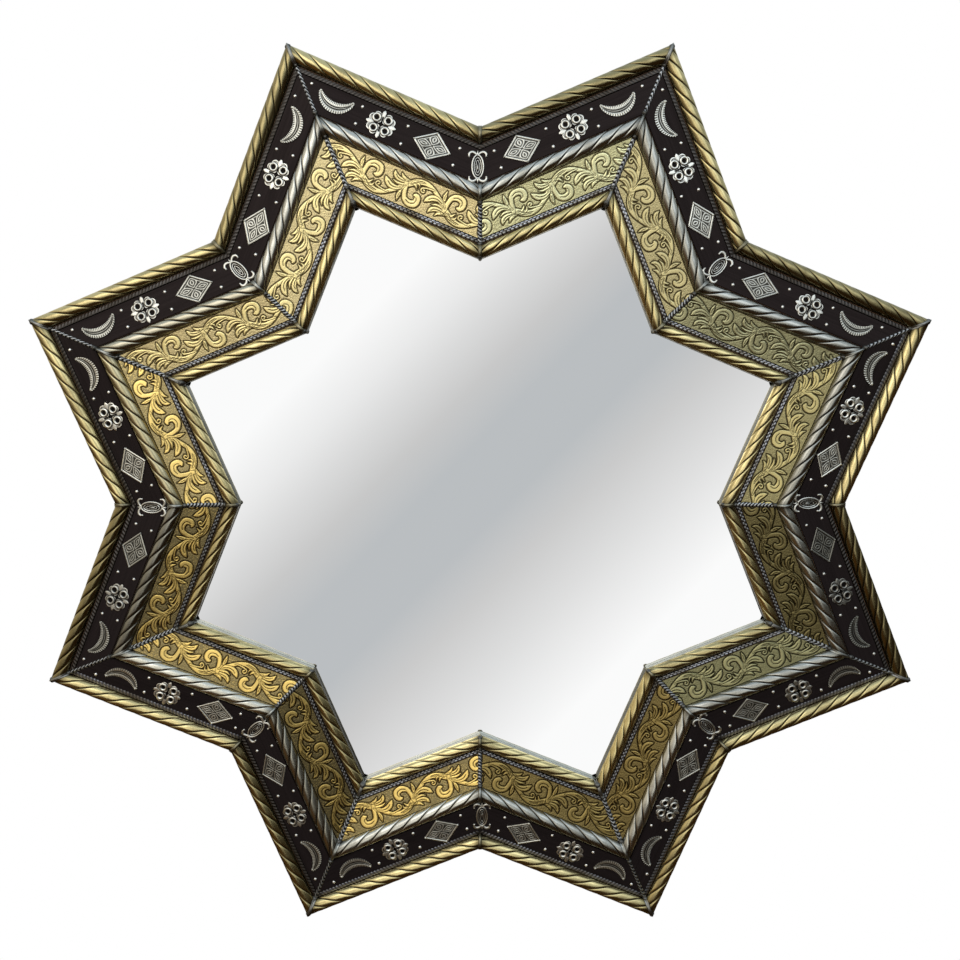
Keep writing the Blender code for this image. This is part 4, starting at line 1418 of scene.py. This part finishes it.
SCREW_RADIUS = 0.0036
SCREW_AROUND = 40
SCREW_ROWS = 14
SCREW_RIM_SHARE = 0.35
STRAP_SCREW_CROWN = 0.0016
BACK_SCREW_CROWN = 0.0007
SLOT_SHARE = 0.6
SLOT_HALF_WIDTH = 0.00072
SLOT_SLOPE = 0.00027
STRAP_THICKNESS = 0.0010

# Screws of a strap: their height from the ring's pivot, which is above them, and the turn of their slots
STRAP_SCREWS = ((-0.028, -0.52), (-0.016, -0.04))
BACK_SCREW_RADIUS = 0.386
BACK_SCREW_TURN = 1.1


def screw_head(centre, turn, full_crown):
    """A domed screw head seen from behind: a low dome with a straight slot pressed into it."""
    around = 2.0 * np.pi * np.arange(SCREW_AROUND)[:, None] / SCREW_AROUND
    share = np.concatenate([[0.0], np.linspace(1.0, 0.0, SCREW_ROWS)])[None, :]
    reach = SCREW_RADIUS * share
    x, z = reach * np.cos(around), reach * np.sin(around)
    arch = np.sqrt(np.clip(1.0 - share ** 2, 0.0, 1.0))
    crown = full_crown * (SCREW_RIM_SHARE + (1.0 - SCREW_RIM_SHARE) * arch)
    from_slot = np.abs(x * math.sin(turn) - z * math.cos(turn))
    slot = smooth_step((SLOT_HALF_WIDTH - from_slot) / SLOT_SLOPE)
    rise = crown * (1.0 - SLOT_SHARE * slot)
    rise[:, 0] = 0.0
    points = np.array(centre) + np.dstack([x, rise, z])
    return Patch(points, wear=slot, ring=True, tube=False)


def add_screws(finish):
    """Two screws in each strap and a flat one in each corner of the backing panel."""
    heads = []
    for joint in frame["joints"]:
        x, _, z = joint["pos_m"]
        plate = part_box(joint["child"].replace("ring_", "hanger_strap_"))[0].y + STRAP_THICKNESS
        for height, turn in STRAP_SCREWS:
            heads.append(screw_head((x, plate, z + height), turn, STRAP_SCREW_CROWN))
    for corner in range(0, SIDES, 2):
        angle = FIRST_TIP - STEP * corner
        centre = (BACK_SCREW_RADIUS * math.cos(angle), 0.0, BACK_SCREW_RADIUS * math.sin(angle))
        heads.append(screw_head(centre, BACK_SCREW_TURN * corner, BACK_SCREW_CROWN))
    add_piece("back_screws", heads, finish)


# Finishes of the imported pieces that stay

def dress(node, finish):
    """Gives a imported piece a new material."""
    for slot in frame["nodes"][node].material_slots:
        slot.material = finish


def side_turn(side):
    """Turn about the Y axis that lays a material's grain along a side."""
    along, _ = side_axes(side)
    return math.atan2(along[2], along[0])


# Pale and deep tones of the woods
STAIN_TONES = ((0.145, 0.078, 0.040), (0.055, 0.028, 0.015))
EBONY_TONES = ((0.010, 0.007, 0.0075), (0.0045, 0.003, 0.0034))
PLYWOOD_TONES = ((0.52, 0.38, 0.23), (0.36, 0.24, 0.13))


def dress_wood():
    """Stained rails and ebonised bands with their grain along the sides, and a plywood back."""
    for side, (rail, band) in enumerate(zip(side_nodes("wood_rail"), side_nodes("dark_band"))):
        turn = side_turn(side)
        stain = grained_wood(f"{rail}_stain", STAIN_TONES, roughness=0.5, turn=turn, pores=0.4)
        dress(rail, stain)
        ebony = grained_wood(f"{band}_ebony", EBONY_TONES, roughness=0.5, turn=turn, pores=0.5, gloss=0.16)
        dress(band, ebony)
    plywood = grained_wood("birch_plywood", PLYWOOD_TONES, roughness=0.6, turn=0.0, pores=0.35)
    dress("backing_panel", plywood)


# Tones of the brass sheets, for their forms, ground and outlines: one brass in painted lit and shaded copies
GOLD = np.array(((0.94, 0.69, 0.23), (0.34, 0.275, 0.135), (0.028, 0.015, 0.005)))
OLIVE = np.array(((0.66, 0.62, 0.33), (0.34, 0.325, 0.18), (0.018, 0.014, 0.006)))
PALE_GOLD = np.array(((0.98, 0.86, 0.45), (0.82, 0.69, 0.39), (0.085, 0.060, 0.022)))
PALE_OLIVE = np.array(((0.95, 0.93, 0.58), (0.76, 0.73, 0.43), (0.100, 0.085, 0.040)))

# How olive the sheets on the right are, a painted shade, and which sheets are painted darker, and by how
# much
OLIVE_SHARE = {1: 1.0, 2: 0.3, 3: 1.0, 4: 0.6, 5: 0.5, 6: 1.0}
PANEL_PAINTED_SHADE = {2: 0.40, 3: 0.43, 4: 0.28, 5: 0.66, 6: 0.42, 7: 0.55, 8: 0.52, 10: 0.60, 11: 0.10, 12: 0.34}
FLATTENING = 1.3

# Where the sheets turn pale with painted light towards the top of the star, and how far
PALE_START = 0.04
PALE_RUN = 0.18
PALE_SHARE = 0.85


def panel_finishes():
    """One brass for each panel, painted with light and shade: gold on the left, olive on the right, pale at
    the top, and some painted darker.

    On the right of the star the forms and the ground of a sheet painted darker are drawn towards one tone.
    """
    finishes = []
    inset = (PANEL_START + PANEL_END) / 2
    for side, node in enumerate(side_nodes("brass_panel")):
        centre = on_side(side, np.mean(along_limits(inset)), inset, 0.0)
        olive = OLIVE_SHARE.get(side, 0.0)
        top = smooth_step((centre[2] - PALE_START) / PALE_RUN)
        pale = PALE_GOLD + (PALE_OLIVE - PALE_GOLD) * olive
        tones = GOLD + (OLIVE - GOLD) * olive
        tones = tones + (pale - tones) * top * PALE_SHARE
        # Painted shade of the sheet, which darkens it and draws its tones together
        painted_shade = PANEL_PAINTED_SHADE.get(side, 0.0)
        if centre[0] > 0.0:
            tones[:2] += (tones[:2].mean(axis=0) - tones[:2]) * FLATTENING * painted_shade
        tones = tones * (1.0 - painted_shade)
        finishes.append(panel_brass(f"{node}_brass", *(tuple(tone) for tone in tones)))
    return finishes


# Stage

CAMERA_PLACE = (0.0, -1.2098, 0.192)
CAMERA_PITCH = math.radians(7.8)
CAMERA_LENS = 39.2
CAMERA_SENSOR = 36.0
FLOOR_LEVEL = -1.5
FLOOR_HALF = 12.0
FLOOR_FADE = (0.8, 1.3)
FLOOR_NOISE = (2.0, 2.0)
FLOOR_TONES = ((0.78, 0.78, 0.77), (0.82, 0.82, 0.81))
FLOOR_ROUGHNESS = 0.8
PLAIN_WHITE = {"Color": (1.0, 1.0, 1.0, 1.0), "Strength": 1.0}


def add_camera():
    data = bpy.data.cameras.new("camera")
    data.lens = CAMERA_LENS
    data.sensor_width = CAMERA_SENSOR
    camera = bpy.data.objects.new("camera", data)
    camera.location = CAMERA_PLACE
    camera.rotation_euler = (math.pi / 2 - CAMERA_PITCH, 0.0, 0.0)
    bpy.context.scene.collection.objects.link(camera)
    bpy.context.scene.camera = camera


def add_floor():
    """A pale floor, as far below the mirror as when it hangs on a wall, that goes over to white far off."""
    mesh = bpy.data.meshes.new("floor")
    half = FLOOR_HALF
    corners = [(x, y, FLOOR_LEVEL) for x, y in ((-half, -half), (half, -half), (half, half), (-half, half))]
    mesh.from_pydata(corners, [], [(0, 1, 2, 3)])
    made, tree, shader = new_material("pale_floor")
    tone = mapped(tree, noise(tree, object_coordinates(tree), *FLOOR_NOISE), *NOISE_MIDDLE)
    tree.links.new(mixed(tree, tone, *FLOOR_TONES), shader.inputs["Base Color"])
    shader.inputs["Roughness"].default_value = FLOOR_ROUGHNESS
    white = add_node(tree, "ShaderNodeEmission", PLAIN_WHITE)
    flat = object_coordinates(tree, (1.0, 1.0, 0.0))
    away = add_node(tree, "ShaderNodeVectorMath", {0: flat}, operation="LENGTH").outputs["Value"]
    rays = add_node(tree, "ShaderNodeLightPath").outputs["Is Camera Ray"]
    share = combined(tree, "MULTIPLY", rays, mapped(tree, away, *FLOOR_FADE))
    surfaces = {0: share, 1: shader.outputs[0], 2: white.outputs[0]}
    either = add_node(tree, "ShaderNodeMixShader", surfaces)
    tree.links.new(either.outputs[0], tree.nodes["Material Output"].inputs["Surface"])
    mesh.materials.append(made)
    floor = bpy.data.objects.new("floor", mesh)
    floor.visible_glossy = False
    bpy.context.scene.collection.objects.link(floor)


LAMP_SIZE = 1.5

# Each lamp's place, power and colour, and whether the metal and the glass show it
LAMPS = {
    "key_lamp": ((-0.85, -1.6, 1.1), 9.0, (1.0, 0.95, 0.86), True),
    "fill_lamp": ((0.95, -1.6, 1.25), 5.0, (0.94, 0.98, 1.0), True),
    "back_lamp": ((0.8, 2.0, 1.0), 22.0, (1.0, 1.0, 1.0), False),
}


def add_lamp(name, place, power, colour, shows):
    """A large soft lamp that faces the middle of the mirror."""
    data = bpy.data.lights.new(name, "AREA")
    data.shape = "DISK"
    data.size = LAMP_SIZE
    data.energy = power
    data.color = colour
    lamp = bpy.data.objects.new(name, data)
    lamp.location = place
    lamp.rotation_euler = (-Vector(place)).to_track_quat("-Z", "Y").to_euler()
    lamp.visible_glossy = shows
    bpy.context.scene.collection.objects.link(lamp)


# Tones that the glass shows, along a falling diagonal of the room in front of it
PALE_GREY = (0.497, 0.518, 0.535)
ROOM_FIRST = -0.27
ROOM_LAST = 0.31
ROOM_TONES = (
    (0.00, 0.97), (0.12, 0.83), (0.20, 0.71), (0.30, 0.58), (0.40, PALE_GREY),
    (0.55, PALE_GREY), (0.66, 0.597), (0.80, 0.74), (0.94, 0.90), (1.00, 0.97),
)
LEAST_DEPTH = 0.05

# Where the diagonal fades in: sideways, at its foot and head, and in front of the mirror
WINDOW_SIDE = (0.34, 0.28)
WINDOW_FOOT = (-0.47, -0.41)
WINDOW_HEAD = (0.20, 0.13)
WINDOW_DEPTH = (0.2, 0.4)

# Tones of the rest of the room in the glass, from floor to ceiling, for rays of at most two bounces
STUDIO_TONES = ((0.00, 0.50), (0.42, 0.66), (0.52, 0.78), (0.62, 0.88), (1.00, 0.95))
STUDIO_BOUNCES = 2.5

# Tones of the sky from left to right, and of the ground from its depth up to the skyline
SKY_TONES = (
    (0.0, (0.92, 0.81, 0.60)), (0.4, (0.98, 0.97, 0.92)),
    (0.6, (0.86, 0.92, 0.92)), (1.0, (0.54, 0.60, 0.61)),
)
ZENITH_TONE = (0.78, 0.91, 1.0)
ZENITH_RANGE = (0.4, 0.9)
GROUND_TONES = (
    (0.00, (0.040, 0.020, 0.007)), (0.55, (0.040, 0.022, 0.009)),
    (0.85, (0.050, 0.040, 0.025)), (1.00, (0.12, 0.115, 0.09)),
)
SKYLINE = -0.20
SKYLINE_LEFT = -0.1
SKYLINE_RIGHT = 0.5
SKYLINE_BLUR = 0.14

# Single places of the room: the direction to each, the range over which it comes in, and its tone
WARM_SIDE = (-0.70, -0.55, -0.45)
WARM_RANGE = (0.80, 0.98)
WARM_SHARE = 0.85
WARM_TONE = (0.17, 0.092, 0.034)
BACK_SIDE = (0.0, 1.0, 0.0)
BACK_RANGE = (0.75, 0.85)
BACK_TONE = (0.9, 0.9, 0.9)
FRONT_SIDE = (-0.10, -0.99, -0.03)
FRONT_RANGE = (0.93, 0.99)
FRONT_TONE = (1.5, 1.44, 1.26)


def tone_ramp(tree, share, tones):
    ramp = add_node(tree, "ShaderNodeValToRGB", {"Fac": share})
    elements = ramp.color_ramp.elements
    while len(elements) < len(tones):
        elements.new(0.5)
    for element, (position, tone) in zip(elements, tones):
        element.position = position
        element.color = (*tone, 1.0) if isinstance(tone, tuple) else (tone, tone, tone, 1.0)
    return ramp.outputs["Color"]


def product(tree, *shares):
    """Several shares multiplied together."""
    result = shares[0]
    for share in shares[1:]:
        result = combined(tree, "MULTIPLY", result, share)
    return result


def window_share(tree, sideways, climb, depth):
    """One where the glass looks from the camera's place, in front of the mirror, and nothing outside it."""
    aside = add_node(tree, "ShaderNodeMath", {0: sideways}, operation="ABSOLUTE").outputs[0]
    width = mapped(tree, aside, *WINDOW_SIDE)
    foot = mapped(tree, climb, *WINDOW_FOOT)
    head = mapped(tree, climb, *WINDOW_HEAD)
    return product(tree, width, foot, head, mapped(tree, depth, *WINDOW_DEPTH))


def add_world():
    """A room of soft tones that the metal and the glass show, plain white where the camera looks past them.

    From the camera's place the glass shows a diagonal: its share is the sideways lean of a direction less
    its climb, over its depth. From other places it shows a pale studio. The worked metal shows a pale sky
    with a bluish zenith over a brown ground, with a skyline that climbs to both sides, a warm wall low on
    the left, a pale backdrop behind the mirror and a bright front.
    """
    world = bpy.data.worlds.new("room")
    bpy.context.scene.world = world
    world.use_nodes = True
    tree = world.node_tree
    tree.nodes.clear()
    view = add_node(tree, "ShaderNodeTexCoord").outputs["Generated"]
    sine, cosine = math.sin(CAMERA_PITCH), math.cos(CAMERA_PITCH)
    depth = dot(tree, view, (0.0, -cosine, -sine))
    lean = dot(tree, view, (1.0, sine, -cosine))
    share = combined(tree, "DIVIDE", lean, combined(tree, "MAXIMUM", depth, LEAST_DEPTH))
    glass_tone = tone_ramp(tree, mapped(tree, share, ROOM_FIRST, ROOM_LAST), ROOM_TONES)

    sideways = dot(tree, view, (1.0, 0.0, 0.0))
    climb = dot(tree, view, (0.0, 0.0, 1.0))
    over_left = dot(tree, view, (-SKYLINE_LEFT, 0.0, 1.0))
    over_right = dot(tree, view, (-SKYLINE_RIGHT, 0.0, 1.0))
    over = combined(tree, "MINIMUM", over_left, over_right)
    sky = tone_ramp(tree, mapped(tree, sideways, -1.0, 1.0), SKY_TONES)
    sky = mixed(tree, mapped(tree, climb, *ZENITH_RANGE), sky, ZENITH_TONE)
    ground = tone_ramp(tree, mapped(tree, over, SKYLINE - 1.0, SKYLINE), GROUND_TONES)
    warm = mapped(tree, dot(tree, view, WARM_SIDE), *WARM_RANGE, 0.0, WARM_SHARE)
    ground = mixed(tree, warm, ground, WARM_TONE)
    tones = mixed(tree, mapped(tree, over, SKYLINE - SKYLINE_BLUR, SKYLINE + SKYLINE_BLUR), ground, sky)
    tones = mixed(tree, mapped(tree, dot(tree, view, BACK_SIDE), *BACK_RANGE), tones, BACK_TONE)
    tones = mixed(tree, mapped(tree, dot(tree, view, FRONT_SIDE), *FRONT_RANGE), tones, FRONT_TONE)

    paths = add_node(tree, "ShaderNodeLightPath").outputs
    in_glass = paths["Is Singular Ray"]
    early = combined(tree, "LESS_THAN", paths["Ray Depth"], STUDIO_BOUNCES)
    studio = tone_ramp(tree, mapped(tree, climb, -1.0, 1.0), STUDIO_TONES)
    tones = mixed(tree, product(tree, in_glass, early), tones, studio)
    window = window_share(tree, sideways, climb, depth)
    tones = mixed(tree, product(tree, in_glass, window), tones, glass_tone)

    lit = add_node(tree, "ShaderNodeBackground", {"Color": tones, "Strength": 1.0})
    white = add_node(tree, "ShaderNodeBackground", PLAIN_WHITE)
    backgrounds = {0: paths["Is Camera Ray"], 1: lit.outputs[0], 2: white.outputs[0]}
    either = add_node(tree, "ShaderNodeMixShader", backgrounds)
    output = tree.nodes.new("ShaderNodeOutputWorld")
    tree.links.new(either.outputs[0], output.inputs["Surface"])


def add_stage():
    add_camera()
    add_floor()
    add_world()
    for name, settings in LAMPS.items():
        add_lamp(name, *settings)
    bpy.context.scene.view_settings.view_transform = "Standard"


# Tones of the worked metals: bright, tarnished and in the grooves
ROPE_BRASS = ((0.64, 0.545, 0.285), (0.31, 0.256, 0.13), (0.016, 0.012, 0.006))
ROPE_NICKEL = ((0.56, 0.565, 0.54), (0.33, 0.32, 0.28), (0.015, 0.014, 0.011))
COVER_BRASS = ((0.23, 0.21, 0.145), (0.12, 0.107, 0.07), (0.012, 0.010, 0.007))
COVER_NICKEL = ((0.28, 0.29, 0.28), (0.16, 0.16, 0.145), (0.015, 0.014, 0.012))
COVER_DARK = ((0.25, 0.25, 0.24), (0.12, 0.115, 0.105), (0.010, 0.009, 0.008))
FILIGREE_NICKEL = ((0.88, 0.88, 0.84), (0.62, 0.60, 0.55), (0.012, 0.010, 0.010))
PLATE_NICKEL = ((0.84, 0.84, 0.79), (0.50, 0.49, 0.44), (0.020, 0.018, 0.016))
PIN_NICKEL = ((0.95, 0.95, 0.93), (0.80, 0.79, 0.76), (0.2, 0.2, 0.2))
STRIP_SILVER = ((0.40, 0.42, 0.45), (0.19, 0.19, 0.195), (0.010, 0.009, 0.008))
CORD_SILVER = ((0.36, 0.38, 0.45), (0.19, 0.165, 0.145), (0.010, 0.008, 0.006))
BRAID_SILVER = ((0.42, 0.44, 0.50), (0.19, 0.165, 0.13), (0.008, 0.007, 0.006))
ZINC_STEEL = ((0.62, 0.63, 0.65), (0.42, 0.42, 0.42), (0.05, 0.05, 0.05))

# Tones of the liner's dull metal and of its upward faces, painted pale with a sheen of the light above and
# dust
LINER_TONES = ((0.10, 0.10, 0.075), (0.48, 0.50, 0.47))


def main():
    brass = metal("rope_brass", ROPE_BRASS, roughness=0.20, tarnish_share=0.65)
    nickel = metal("rope_nickel", ROPE_NICKEL, roughness=0.20, tarnish_share=0.65, reflected_brass=ROPE_BRASS[0])
    brass_cover = metal("cover_brass", COVER_BRASS, roughness=0.30)
    nickel_cover = metal("cover_nickel", COVER_NICKEL, roughness=0.28)
    filigree = metal("filigree_nickel", FILIGREE_NICKEL, roughness=0.34, tarnish_share=0.35)
    plate = metal("plate_nickel", PLATE_NICKEL, roughness=0.36)
    pin = metal("pin_nickel", PIN_NICKEL, roughness=0.40, tarnish_share=0.3)
    strip_silver = metal("dark_silver", STRIP_SILVER, roughness=0.34)
    tip_cover = metal("cover_dark", COVER_DARK, roughness=0.36)
    cord_silver = metal("cord_silver", CORD_SILVER, roughness=0.32, tarnish_share=0.8)
    braid_silver = metal("braid_silver", BRAID_SILVER, roughness=0.34, tarnish_share=0.9)
    steel = metal("zinc_steel", ZINC_STEEL, roughness=0.30, tarnish_share=0.35)
    add_rope(OUTER_ROPE, OUTER_REVERSED, brass)
    add_rope(RIDGE_ROPE, (), nickel)
    add_rope(INNER_ROPE, INNER_REVERSED, brass)
    add_mitre_strips((brass_cover, nickel_cover, brass_cover), tip_cover, strip_silver)
    add_beads(cord_silver, braid_silver)
    add_panels(panel_finishes())
    add_filigree(filigree, plate, pin)
    add_hanger_rings(steel)
    add_glue()
    add_screws(steel)
    dress_wood()
    dress("inner_liner", dust_and_sheen_metal("liner_metal", *LINER_TONES))
    dress("mirror_glass", silvered_glass("silvered_glass"))
    for end in ("left", "right"):
        dress(f"hanger_strap_{end}", steel)
    add_stage()


main()
